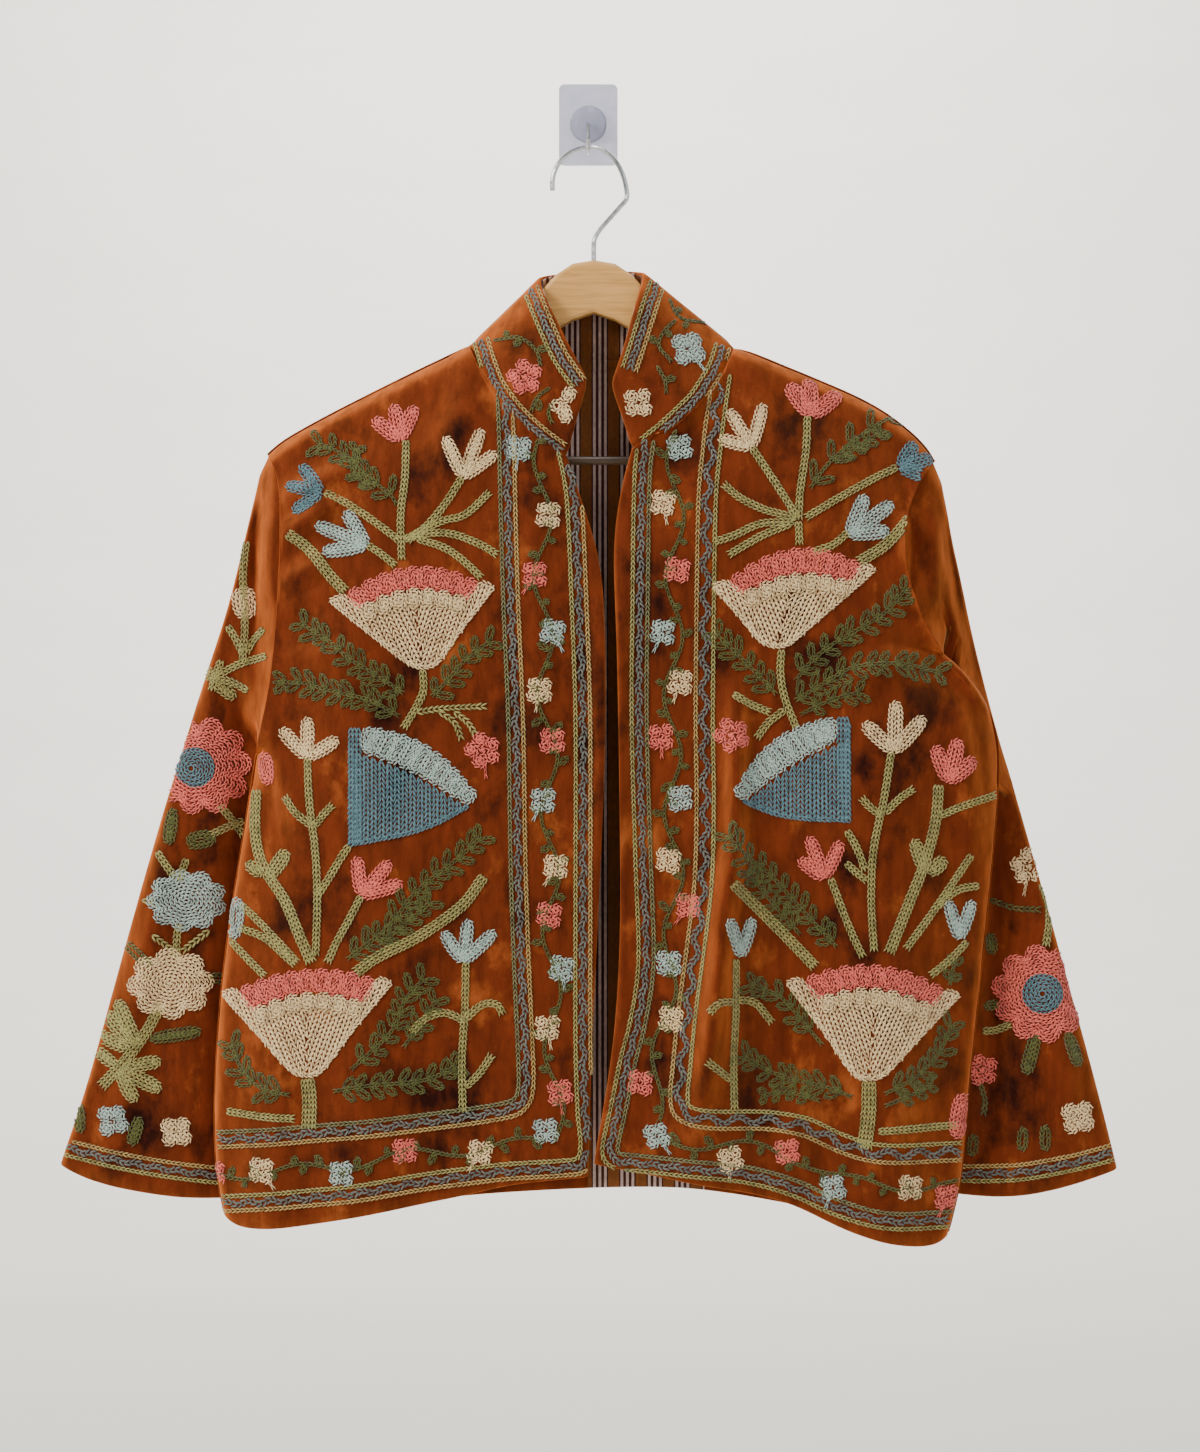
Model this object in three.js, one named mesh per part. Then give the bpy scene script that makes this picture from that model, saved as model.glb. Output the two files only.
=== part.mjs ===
// A velvet jacket with a stand collar, on a wooden hanger that hangs from a wall plate.
// Millimetres, +Z up. The front faces -Y, the wall is the plane y = 0, and "right" is the wearer's
// right, at -X. The origin is the centre of the wall plate's back face.

import * as THREE from "three";

// ---------------------------------------------------------------- driving dimensions

// Cloth thickness, and the gaps between pieces: where seams face squarely, where they meet at a bend,
// and where the back's lining hangs loose.
const CLOTH = { wall: 2.2, lining: 1.2, seam: 0.3, bend: 1.9, loose: 0.8 };

// Where the panels hang, as depths in y: the seams that close the body, and the open cloth between.
const DEPTH = {
  shoulderSeam: -26,
  sideSeam: -32,
  backNeck: -11,
  back: -10,
  frontNeck: -52,
  armholeFront: -46,
  armholeBack: -14,
};

// How far cloth turns square to a seam before it eases into its panel, and how far that easing reaches.
// "neckPoint" is the stretch of the neck's edge over which the shoulder's turn dies out.
const TURN = {
  frontShoulder: { turn: -13, reach: 70 },
  backShoulder: { turn: 13, reach: 40 },
  frontSide: { turn: -9, reach: 60 },
  backSide: { turn: 5, reach: 170 },
  neck: { turn: 0, reach: 45 },
  neckPoint: 24,
};

// The armhole's edge opens from the underarm over "reach", turning "turnRatio" times as far as the side
// seam, and closes again over "tipReach" at the shoulder's tip. The sleeve's ring stops short of the
// underarm by "footClear", and takes its direction over a share "alongStep" to each side.
const ARMHOLE = { reach: 110, turnRatio: 1.6, tipReach: 40, footClear: 5.7, alongStep: 0.02 };

// Share of each panel's side edge above the underarm, and of its top edge along each shoulder.
const SPLIT = { underarm: 0.4, frontNeck: 0.62, backNeckRight: 0.3, backNeckLeft: 0.7 };

// Depth of the middle of both fronts, from the neck down to the hem.
const FRONT_HANG = [
  { at: 0, y: -46 },
  { at: 0.25, y: -54 },
  { at: 0.6, y: -53 },
  { at: 1, y: -48 },
];

// Edges seen from the front, a row per turn of the line, downwards or towards the centre front.
const RIGHT = {
  side: -1,
  armhole: [
    { x: -227, z: -239 },
    { x: -219, z: -254 },
    { x: -216, z: -282 },
    { x: -218, z: -343 },
    { x: -223, z: -400 },
    { x: -234, z: -451 },
  ],
  sideSeam: [
    { x: -234, z: -451 },
    { x: -244, z: -514 },
    { x: -255, z: -585 },
    { x: -262, z: -660 },
    { x: -263, z: -740 },
    { x: -257, z: -774 },
  ],
  shoulder: [
    { x: -227, z: -239 },
    { x: -218, z: -231 },
    { x: -200, z: -220 },
    { x: -146, z: -192 },
    { x: -84, z: -162 },
  ],
  neck: [
    { x: -84, z: -162 },
    { x: -76, z: -180 },
    { x: -64, z: -197 },
    { x: -47, z: -216 },
    { x: -15, z: -242 },
  ],
  opening: [
    { x: -15, z: -242 },
    { x: -4, z: -275 },
    { x: 8, z: -314 },
    { x: 12, z: -371 },
    { x: 12, z: -440 },
    { x: 8, z: -546 },
    { x: 3, z: -650 },
    { x: 0, z: -747 },
  ],
  hem: [
    { x: -257, z: -774 },
    { x: -247, z: -782 },
    { x: -228, z: -784 },
    { x: -165, z: -775 },
    { x: -97, z: -762 },
    { x: -50, z: -752 },
    { x: 0, z: -747 },
  ],
  sleeveOuter: [
    { x: -227, y: -26, z: -239 },
    { x: -237, y: -26, z: -266 },
    { x: -250, y: -24, z: -336 },
    { x: -274, y: -21, z: -406 },
    { x: -303, y: -21, z: -500 },
    { x: -333, y: -21, z: -605 },
    { x: -359, y: -21, z: -700 },
    { x: -371, y: -21, z: -737 },
  ],
  sleeveInner: [
    { x: -234, y: -32, z: -451 },
    { x: -239, y: -27, z: -451 },
    { x: -243, y: -20, z: -454 },
    { x: -242, y: -14, z: -466 },
    { x: -236, y: -12, z: -492 },
    { x: -231, y: -12, z: -560 },
    { x: -232, y: -12, z: -640 },
    { x: -238, y: -14, z: -765 },
  ],
};

const LEFT = {
  side: 1,
  armhole: [
    { x: 245, z: -244 },
    { x: 233, z: -260 },
    { x: 222, z: -290 },
    { x: 224, z: -325 },
    { x: 236, z: -358 },
    { x: 250, z: -380 },
  ],
  sideSeam: [
    { x: 250, z: -380 },
    { x: 268, z: -396 },
    { x: 287, z: -416 },
    { x: 291, z: -440 },
    { x: 289, z: -480 },
    { x: 283, z: -546 },
    { x: 275, z: -623 },
    { x: 267, z: -700 },
    { x: 262, z: -765 },
    { x: 254, z: -789 },
  ],
  shoulder: [
    { x: 245, z: -244 },
    { x: 239, z: -234 },
    { x: 225, z: -220 },
    { x: 204, z: -205 },
    { x: 150, z: -181 },
    { x: 103, z: -162 },
  ],
  neck: [
    { x: 103, z: -162 },
    { x: 96, z: -182 },
    { x: 82, z: -201 },
    { x: 60, z: -218 },
    { x: 31, z: -236 },
  ],
  opening: [
    { x: 31, z: -236 },
    { x: 22, z: -271 },
    { x: 18, z: -305 },
    { x: 20, z: -371 },
    { x: 22, z: -480 },
    { x: 22, z: -590 },
    { x: 17, z: -658 },
    { x: 4, z: -738 },
  ],
  hem: [
    { x: 254, z: -789 },
    { x: 242, z: -796 },
    { x: 218, z: -795 },
    { x: 180, z: -784 },
    { x: 140, z: -765 },
    { x: 70, z: -750 },
    { x: 4, z: -738 },
  ],
  sleeveOuter: [
    { x: 245, y: -26, z: -244 },
    { x: 252, y: -25, z: -273 },
    { x: 265, y: -20, z: -336 },
    { x: 281, y: -18, z: -400 },
    { x: 303, y: -19, z: -480 },
    { x: 334, y: -20, z: -592 },
    { x: 360, y: -21, z: -685 },
    { x: 375, y: -21, z: -745 },
  ],
  sleeveInner: [
    { x: 250, y: -32, z: -380 },
    { x: 256, y: -24, z: -378 },
    { x: 258, y: -16, z: -382 },
    { x: 254, y: -12.5, z: -393 },
    { x: 241, y: -12, z: -425 },
    { x: 232, y: -12, z: -465 },
    { x: 229, y: -12, z: -530 },
    { x: 231, y: -12, z: -610 },
    { x: 240, y: -14, z: -760 },
  ],
};

const BACK_NECK = [
  { x: -84, z: -162 },
  { x: -55, z: -166 },
  { x: 10, z: -168 },
  { x: 74, z: -166 },
  { x: 103, z: -162 },
];

const BACK_HEM = [
  { x: -257, z: -774 },
  { x: -180, z: -774 },
  { x: -60, z: -764 },
  { x: 60, z: -760 },
  { x: 150, z: -772 },
  { x: 254, z: -789 },
];

// Soft folds of the hanging cloth: a ridge line from its top to its foot, with a half width and a rise.
// A fold swells from its top as a sine does, up to "angle" at its foot, and runs on to "end".
const FOLD_TAPER = { angle: 2.19, end: 1.2 };

const FRONT_FOLDS = [
  { xTop: 112, zTop: -430, xFoot: 76, zFoot: -735, width: 24, rise: 11 },
  { xTop: 205, zTop: -330, xFoot: 190, zFoot: -620, width: 26, rise: 5 },
  { xTop: 215, zTop: -560, xFoot: 215, zFoot: -800, width: 22, rise: 8 },
  { xTop: 250, zTop: -430, xFoot: 160, zFoot: -520, width: 15, rise: 5 },
  { xTop: -190, zTop: -300, xFoot: -150, zFoot: -450, width: 18, rise: 5 },
  { xTop: -212, zTop: -430, xFoot: -150, zFoot: -540, width: 14, rise: 5 },
  { xTop: -130, zTop: -470, xFoot: -165, zFoot: -790, width: 26, rise: 7 },
  { xTop: -225, zTop: -560, xFoot: -228, zFoot: -800, width: 20, rise: 6 },
];

const BACK_FOLDS = [
  { xTop: -120, zTop: -330, xFoot: -150, zFoot: -790, width: 30, rise: 4 },
  { xTop: 20, zTop: -300, xFoot: 20, zFoot: -790, width: 34, rise: 3 },
  { xTop: 140, zTop: -330, xFoot: 160, zFoot: -790, width: 30, rise: 4 },
];

const SLEEVE_FOLDS = [
  { xTop: -244, zTop: -290, xFoot: -262, zFoot: -520, width: 12, rise: 5 },
  { xTop: -262, zTop: -420, xFoot: -330, zFoot: -640, width: 14, rise: 5 },
  { xTop: -280, zTop: -560, xFoot: -290, zFoot: -740, width: 16, rise: 4 },
  { xTop: 238, zTop: -280, xFoot: 258, zFoot: -365, width: 10, rise: 6 },
  { xTop: 290, zTop: -430, xFoot: 335, zFoot: -640, width: 14, rise: 5 },
  { xTop: 296, zTop: -560, xFoot: 300, zFoot: -740, width: 16, rise: 4 },
];

// A sleeve is a flat tube between its outer and inner edges: its half thickness from armhole to cuff,
// and the radius that its edges turn with. "bow" is how far a section sags at its middle. The two lags
// are powers that crowd the sections towards the armhole, and "fullness" is the power of their bulge.
const SLEEVE = {
  edgeRadius: 4.5,
  nearWall: -3.5,
  armholeReach: 0.24,
  innerLag: 1.7,
  lengthLag: 1.15,
  fullness: 0.8,
  sections: [
    { at: 0, half: 15, bow: 0 },
    { at: 0.15, half: 8, bow: 0 },
    { at: 0.3, half: 6, bow: 1 },
    { at: 0.7, half: 8, bow: 6 },
    { at: 1, half: 8.5, bow: 11 },
  ],
};

// Top edge of the stand collar, a row per turn, from the right front end round the back to the left.
const COLLAR_TOP = [
  { at: 0, x: 0, y: -52, z: -189 },
  { at: 0.13, x: -13, y: -50, z: -165 },
  { at: 0.24, x: -28, y: -44, z: -134 },
  { at: 0.305, x: -35, y: -35, z: -118 },
  { at: 0.345, x: -34, y: -22, z: -112 },
  { at: 0.4, x: -22, y: -14, z: -109 },
  { at: 0.5, x: 3, y: -12, z: -107 },
  { at: 0.6, x: 28, y: -14, z: -107 },
  { at: 0.655, x: 39, y: -22, z: -109 },
  { at: 0.695, x: 40, y: -35, z: -114 },
  { at: 0.76, x: 34, y: -44, z: -132 },
  { at: 0.87, x: 25, y: -50, z: -166 },
  { at: 1, x: 16, y: -52, z: -192 },
];

// Shares of the collar's length along the right front, the back and the left front of the neck.
const COLLAR_SPLIT = { right: 0.33, left: 0.67 };

// The wooden hanger. Its arms follow the shoulders below the cloth, and carry the bar at their ends.
const HANGER = {
  centre: 4,
  y: -26,
  thick: 12,
  bevel: 2.5,
  seat: 2.3,
  armEnd: 196,
  neck: [
    { x: 0, top: -101.5, foot: -139 },
    { x: 15, top: -104, foot: -144 },
    { x: 27, top: -112, foot: -151 },
    { x: 36, top: -122, foot: -158 },
    { x: 58, top: -147, foot: -174 },
    { x: 84, top: -173, foot: -192 },
  ],
  armTurns: [112, 130, 150, 175, 192],
  armFoot: { x: 110, z: -211 },
  barZ: -243,
  barRadius: 3,
  lobe: { from: 166, foot: -252, outerCorner: 8, innerCorner: 6, head: 10, root: 12 },
};

// The hanger's wire hook, from its free tip round the open ring down to the wood.
const HOOK = {
  wire: 1.7,
  route: [
    { x: -25.2, z: -51.8 },
    { x: -25.2, z: -43.4 },
    { x: -22.4, z: -35 },
    { x: -16.1, z: -27 },
    { x: -6.5, z: -22.2 },
    { x: 2, z: -21 },
    { x: 10, z: -22.8 },
    { x: 18, z: -29 },
    { x: 24, z: -39 },
    { x: 27, z: -50 },
    { x: 27.3, z: -57.4 },
    { x: 22.4, z: -63.4 },
    { x: 15.4, z: -71.4 },
    { x: 8, z: -80 },
    { x: 4.4, z: -86.5 },
    { x: 4, z: -92 },
  ],
};

// The wall plate with its domed boss, and the bent wire that carries the hanger's ring.
const PLATE = { width: 42, height: 58, thick: 2, corner: 4 };
const BOSS = { radius: 13.3, high: 6.5, rim: 2, rings: [0.3, 0.6, 0.85] };
const WALL_WIRE = {
  radius: 1.5,
  route: [
    { y: -9.2, z: -1 },
    { y: -11, z: -1.2 },
    { y: -14, z: -4 },
    { y: -17, z: -12 },
    { y: -20, z: -21 },
    { y: -24, z: -24.6 },
    { y: -28, z: -24.6 },
    { y: -32, z: -22.5 },
    { y: -34.5, z: -17 },
  ],
};

// How finely each piece is divided.
const MESH = {
  armhole: [0, 0.012, 0.035, 0.07, 0.13, 0.24, 0.36, 0.49, 0.62, 0.75, 0.86, 0.94, 0.98, 1],
  belowArm: 11,
  besideSeam: [0, 0.012, 0.03, 0.06, 0.11],
  frontShoulder: 8,
  frontNeck: 7,
  backShoulder: 6,
  backNeck: 8,
  sleeveLength: 15,
  sleeveAcross: [0, 0.01, 0.03, 0.07, 0.13, 0.24, 0.37, 0.5, 0.63, 0.76, 0.87, 0.93, 0.97, 0.99, 1],
  collarRise: 4,
  lineDivisions: 400,
  cornerTurns: 6,
  bevelSteps: 2,
  wireSides: 4,
  hookSteps: 46,
  wallWireSteps: 26,
  barSides: 16,
  bossSides: 28,
};

const COLOUR = {
  velvet: { color: 0xb4581c, roughness: 0.95, metalness: 0 },
  lining: { color: 0x8a6038, roughness: 0.75, metalness: 0 },
  wood: { color: 0xd9a05c, roughness: 0.45, metalness: 0 },
  bar: { color: 0x3a2418, roughness: 0.5, metalness: 0 },
  chrome: { color: 0xd0d2d6, roughness: 0.12, metalness: 1 },
  plastic: { color: 0xc3c4dc, roughness: 0.15, metalness: 0 },
};

// ---------------------------------------------------------------- curves and blends

const mix = (a, b, t) => a + (b - a) * t;
const clamp = (t) => Math.min(1, Math.max(0, t));

// 1 at a folded edge and 0 from "reach" on. It leaves the edge squarely, as a quarter circle does.
function quarter(distance, reach) {
  if (reach <= 0 || distance >= reach) return 0;
  return 1 - Math.sqrt(1 - (1 - distance / reach) ** 2);
}

// 1 at an edge and 0 from "reach" on, level at both ends.
function ease(distance, reach) {
  return (1 + Math.cos(Math.PI * clamp(distance / reach))) / 2;
}

// A column of a table between the rows that lie round "at".
function column(rows, name, at) {
  let i = 0;
  while (i < rows.length - 2 && rows[i + 1].at < at) i += 1;
  const share = clamp((at - rows[i].at) / (rows[i + 1].at - rows[i].at));
  return mix(rows[i][name], rows[i + 1][name], share);
}

// A smooth line through a table's rows: a function of the share of its length.
function line(rows) {
  const points = rows.map((row) => new THREE.Vector3(row.x, row.y ?? 0, row.z));
  const curve = new THREE.CatmullRomCurve3(points, false, "centripetal");
  curve.arcLengthDivisions = MESH.lineDivisions;
  const at = (share) => curve.getPointAt(clamp(share));
  return { at, length: curve.getLength() };
}

// Lines end to end, the first up to breaks[0] and so on.
function chain(lines, breaks) {
  const ends = [0, ...breaks, 1];
  return (share) => {
    let i = 0;
    while (i < lines.length - 1 && share > ends[i + 1]) i += 1;
    return lines[i].at((share - ends[i]) / (ends[i + 1] - ends[i]));
  };
}

// The depth of cloth at a distance from an edge that lies at edgeY, and turns as "fold" says.
function hang(inner, edgeY, fold, distance) {
  const turned = edgeY + fold.turn;
  const rounded = turned - fold.turn * quarter(distance, Math.abs(fold.turn));
  return rounded + (inner - turned) * (1 - ease(distance, fold.reach));
}

// How far the folds of a table lift the cloth at x, z.
function foldRise(folds, x, z) {
  let rise = 0;
  for (const fold of folds) {
    const along = new THREE.Vector2(fold.xFoot - fold.xTop, fold.zFoot - fold.zTop);
    const length = along.length();
    along.normalize();
    const from = new THREE.Vector2(x - fold.xTop, z - fold.zTop);
    const across = from.cross(along);
    const share = from.dot(along) / length;
    const taper = share < FOLD_TAPER.end ? Math.sin(FOLD_TAPER.angle * clamp(share)) : 0;
    rise += fold.rise * taper * Math.exp(-((across / fold.width) ** 2));
  }
  return rise;
}

// A patch filled in from its four edges, as seen from the front.
function coons(left, right, top, foot) {
  return (u, v) => {
    const p = new THREE.Vector3();
    p.addScaledVector(left(v), 1 - u);
    p.addScaledVector(right(v), u);
    p.addScaledVector(top(u), 1 - v);
    p.addScaledVector(foot(u), v);
    p.addScaledVector(top(0), -(1 - u) * (1 - v));
    p.addScaledVector(top(1), -u * (1 - v));
    p.addScaledVector(foot(0), -(1 - u) * v);
    p.addScaledVector(foot(1), -u * v);
    return p;
  };
}

// ---------------------------------------------------------------- the body's panels

// The depth along a side edge: open at the armhole, and closed at the seam below it.
function sideEdgeY(v, armholeLength, openY, seamY, tipY, fold, tipFold) {
  if (v >= SPLIT.underarm) return seamY;
  const fromTip = (v / SPLIT.underarm) * armholeLength;
  const fromUnderarm = armholeLength - fromTip;
  const underarm = { turn: fold.turn * ARMHOLE.turnRatio, reach: ARMHOLE.reach };
  const closed = hang(openY, seamY, underarm, fromUnderarm);
  return hang(closed, tipY, { turn: tipFold.turn, reach: ARMHOLE.tipReach }, fromTip);
}

// A front, as a function of its width (side to centre) and height (top to hem).
function frontSurface(half) {
  const armhole = line(half.armhole);
  const shoulder = line(half.shoulder);
  const neck = line(half.neck);
  const sideEdge = chain([armhole, line(half.sideSeam)], [SPLIT.underarm]);
  const topEdge = chain([shoulder, neck], [SPLIT.frontNeck]);
  const patch = coons(sideEdge, line(half.opening).at, topEdge, line(half.hem).at);
  const seamY = DEPTH.sideSeam - CLOTH.seam / 2;
  const shoulderY = DEPTH.shoulderSeam - CLOTH.seam / 2;
  return (u, v) => {
    const p = patch(u, v);
    const inner = column(FRONT_HANG, "y", v) - foldRise(FRONT_FOLDS, p.x, p.z);
    const edge = sideEdgeY(
      v, armhole.length, DEPTH.armholeFront, seamY, shoulderY, TURN.frontSide, TURN.frontShoulder,
    );
    const sideFold = v >= SPLIT.underarm ? TURN.frontSide : { ...TURN.frontSide, turn: 0 };
    const sided = hang(inner, edge, sideFold, p.distanceTo(sideEdge(v)));
    const fromTop = p.distanceTo(topEdge(u));
    const alongNeck = clamp((u - SPLIT.frontNeck) / (1 - SPLIT.frontNeck)) * neck.length;
    const neckY = hang(DEPTH.frontNeck, shoulderY, TURN.frontShoulder, alongNeck);
    const turned = hang(sided, shoulderY, TURN.frontShoulder, fromTop);
    const plain = hang(sided, neckY, TURN.neck, fromTop);
    p.y = mix(turned, plain, u > SPLIT.frontNeck ? 1 - quarter(alongNeck, TURN.neckPoint) : 0);
    return p;
  };
}

// The back, as a function of its width (right to left) and height.
function backSurface() {
  const armholes = [line(RIGHT.armhole), line(LEFT.armhole)];
  const sides = [
    chain([armholes[0], line(RIGHT.sideSeam)], [SPLIT.underarm]),
    chain([armholes[1], line(LEFT.sideSeam)], [SPLIT.underarm]),
  ];
  const neck = line(BACK_NECK);
  const leftShoulder = line([...LEFT.shoulder].reverse());
  const breaks = [SPLIT.backNeckRight, SPLIT.backNeckLeft];
  const topEdge = chain([line(RIGHT.shoulder), neck, leftShoulder], breaks);
  const patch = coons(sides[0], sides[1], topEdge, line(BACK_HEM).at);
  const seamY = DEPTH.sideSeam + CLOTH.seam / 2;
  const shoulderY = DEPTH.shoulderSeam + CLOTH.seam / 2;
  return (u, v) => {
    const p = patch(u, v);
    let y = DEPTH.back - foldRise(BACK_FOLDS, p.x, p.z);
    const sideFold = v >= SPLIT.underarm ? TURN.backSide : { ...TURN.backSide, turn: 0 };
    for (const i of [0, 1]) {
      const edge = sideEdgeY(
        v, armholes[i].length, DEPTH.armholeBack, seamY, shoulderY, TURN.backSide, TURN.backShoulder,
      );
      y = hang(y, edge, sideFold, p.distanceTo(sides[i](v)));
    }
    const fromTop = p.distanceTo(topEdge(u));
    const alongNeck = Math.min(u - breaks[0], breaks[1] - u) * (neck.length / (breaks[1] - breaks[0]));
    const neckY = hang(DEPTH.backNeck, shoulderY, TURN.backShoulder, Math.max(0, alongNeck));
    const turned = hang(y, shoulderY, TURN.backShoulder, fromTop);
    const plain = hang(y, neckY, TURN.neck, fromTop);
    p.y = mix(turned, plain, alongNeck > 0 ? 1 - quarter(alongNeck, TURN.neckPoint) : 0);
    return p;
  };
}

// Evenly spaced shares from a to b, without the first.
function steps(a, b, count) {
  return Array.from({ length: count }, (_, i) => mix(a, b, (i + 1) / count));
}

// The panels' rows from top to hem, and their columns: close together beside seams and folds.
const rowShares = () => [
  ...MESH.armhole.map((share) => share * SPLIT.underarm),
  ...steps(SPLIT.underarm, 1, MESH.belowArm),
];

function frontColumns() {
  const beside = MESH.besideSeam;
  return [
    ...beside,
    ...steps(beside.at(-1), SPLIT.frontNeck, MESH.frontShoulder),
    ...steps(SPLIT.frontNeck, 1, MESH.frontNeck),
  ];
}

function backColumns() {
  const beside = MESH.besideSeam.map((share) => share / 2);
  const last = beside.at(-1);
  return [
    ...beside,
    ...steps(last, SPLIT.backNeckRight, MESH.backShoulder),
    ...steps(SPLIT.backNeckRight, SPLIT.backNeckLeft, MESH.backNeck),
    ...steps(SPLIT.backNeckLeft, 1 - last, MESH.backShoulder),
    ...beside.slice(0, -1).reverse().map((share) => 1 - share),
  ];
}

// ---------------------------------------------------------------- walls

// Panels meet squarely at the shoulder and side seams, so a wall's end there faces along y.
const liesOnSeam = (p) =>
  [DEPTH.shoulderSeam, DEPTH.sideSeam].some((y) => Math.abs(p.y - y) <= CLOTH.seam);

// Unit normals of a grid of points, by the differences between neighbours.
function gridNormals(grid, closed) {
  const rows = grid.length;
  const cols = grid[0].length;
  const pick = (j, i) => grid[j][closed ? (i + cols) % cols : Math.min(cols - 1, Math.max(0, i))];
  return grid.map((row, j) =>
    row.map((_, i) => {
      const across = pick(j, i + 1).clone().sub(pick(j, i - 1));
      const up = Math.max(0, j - 1);
      const down = Math.min(rows - 1, j + 1);
      const along = pick(down, i).clone().sub(pick(up, i));
      const normal = across.cross(along).normalize();
      const onEdge = !closed && (j === 0 || j === rows - 1 || i === 0 || i === cols - 1);
      if (onEdge && liesOnSeam(pick(j, i))) normal.setY(0).normalize();
      return normal;
    }),
  );
}

// The grid moved along its normals.
function movedOut(grid, distance, closed = false) {
  const normals = gridNormals(grid, closed);
  return grid.map((row, j) => row.map((p, i) => p.clone().addScaledVector(normals[j][i], distance)));
}

// A closed wall of the given thickness round a grid of points. A closed grid's last column meets its
// first, and its two ends stay open.
function wall(grid, thickness, closed = false) {
  const skins = [movedOut(grid, thickness / 2, closed), movedOut(grid, -thickness / 2, closed)];
  const rows = grid.length;
  const cols = grid[0].length;
  const positions = skins.flat(2).flatMap((p) => [p.x, p.y, p.z]);
  const index = (skin, j, i) => (skin * rows + j) * cols + (closed ? i % cols : i);
  const foot = rows - 1;
  const last = cols - 1;
  const faces = [];
  const quad = (a, b, c, d) => faces.push(a, b, c, a, c, d);
  const spans = closed ? cols : cols - 1;
  for (let j = 0; j < foot; j += 1) {
    for (let i = 0; i < spans; i += 1) {
      quad(index(0, j, i), index(0, j, i + 1), index(0, j + 1, i + 1), index(0, j + 1, i));
      quad(index(1, j, i), index(1, j + 1, i), index(1, j + 1, i + 1), index(1, j, i + 1));
    }
  }
  for (let i = 0; i < spans; i += 1) {
    quad(index(0, 0, i), index(1, 0, i), index(1, 0, i + 1), index(0, 0, i + 1));
    quad(index(0, foot, i), index(0, foot, i + 1), index(1, foot, i + 1), index(1, foot, i));
  }
  for (let j = 0; j < foot && !closed; j += 1) {
    quad(index(0, j, 0), index(0, j + 1, 0), index(1, j + 1, 0), index(1, j, 0));
    quad(index(0, j, last), index(1, j, last), index(1, j + 1, last), index(0, j + 1, last));
  }
  const geometry = new THREE.BufferGeometry();
  geometry.setAttribute("position", new THREE.Float32BufferAttribute(positions, 3));
  geometry.setIndex(faces);
  return geometry;
}

const sample = (surface, columns, rows) => rows.map((v) => columns.map((u) => surface(u, v)));

function mesh(name, geometry, finish) {
  geometry.computeVertexNormals();
  const made = new THREE.Mesh(geometry, new THREE.MeshStandardMaterial(finish));
  made.name = name;
  return made;
}

// ---------------------------------------------------------------- sleeves

// The armhole's ring, just outside the panels' edges: front edge down, then back edge up.
function armholeRing(half, frontPanel, backPanel) {
  const edge = line(half.armhole);
  const outward = (share) => {
    const step = ARMHOLE.alongStep;
    const along = edge.at(share + step).sub(edge.at(share - step)).normalize();
    return new THREE.Vector3(-along.z, 0, along.x).multiplyScalar(half.side * CLOTH.bend);
  };
  const backShare = half.side < 0 ? 0 : 1;
  const reach = 1 - ARMHOLE.footClear / edge.length;
  const place = (panel, u, share) => panel(u, share * reach * SPLIT.underarm).add(outward(share));
  const front = MESH.armhole.map((share) => place(frontPanel, 0, share));
  const back = MESH.armhole.map((share) => place(backPanel, backShare, share));
  return { front, back };
}

// One section of the sleeve's tube at a share of its length, as front and back points from the outer
// edge to the inner one.
function sleeveSection(outer, inner, share) {
  const rows = SLEEVE.sections;
  const a = outer.at(share);
  const b = inner.at(share ** SLEEVE.innerLag);
  const width = a.distanceTo(b);
  const half = column(rows, "half", share);
  const bow = column(rows, "bow", share);
  const points = { front: [], back: [] };
  for (const across of MESH.sleeveAcross) {
    const p = a.clone().lerp(b, across);
    const fromEdge = Math.min(across, 1 - across) * width;
    const edge = SLEEVE.edgeRadius * (1 - quarter(fromEdge, SLEEVE.edgeRadius));
    const swell = Math.sin(Math.PI * across);
    const bulge = edge + (half - SLEEVE.edgeRadius) * swell ** SLEEVE.fullness;
    p.z -= bow * swell;
    const lift = foldRise(SLEEVE_FOLDS, p.x, p.z) * swell;
    points.front.push(new THREE.Vector3(p.x, p.y - bulge - lift, p.z));
    points.back.push(new THREE.Vector3(p.x, Math.min(p.y + bulge, SLEEVE.nearWall), p.z));
  }
  return points;
}

// A sleeve's tube, from the armhole's ring to the open cuff.
function sleeveGrid(half, frontPanel, backPanel) {
  const outer = line(half.sleeveOuter);
  const inner = line(half.sleeveInner);
  const ring = armholeRing(half, frontPanel, backPanel);
  const resample = (points) => {
    const curve = new THREE.CatmullRomCurve3(points, false, "centripetal");
    curve.arcLengthDivisions = MESH.lineDivisions;
    return MESH.sleeveAcross.map((share) => curve.getPointAt(share));
  };
  const start = { front: resample(ring.front), back: resample(ring.back) };
  const shares = [0, ...steps(0, 1, MESH.sleeveLength).map((share) => share ** SLEEVE.lengthLag)];
  return shares.map((share) => {
    const section = sleeveSection(outer, inner, share);
    const held = ease(share, SLEEVE.armholeReach);
    const blend = (name) => section[name].map((p, i) => p.lerp(start[name][i], held));
    const front = blend("front");
    const back = blend("back").slice(1, -1).reverse();
    return half.side < 0 ? [...front, ...back].reverse() : [...front, ...back];
  });
}

// ---------------------------------------------------------------- collar

// The neck's seam, from the right front end round the back to the left front end.
function neckSeam(rightPanel, leftPanel, backPanel) {
  const ends = COLLAR_SPLIT;
  return (share) => {
    if (share <= ends.right) return rightPanel(mix(1, SPLIT.frontNeck, share / ends.right), 0);
    if (share >= ends.left) {
      return leftPanel(mix(SPLIT.frontNeck, 1, (share - ends.left) / (1 - ends.left)), 0);
    }
    const across = (share - ends.right) / (ends.left - ends.right);
    return backPanel(mix(SPLIT.backNeckRight, SPLIT.backNeckLeft, across), 0);
  };
}

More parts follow.
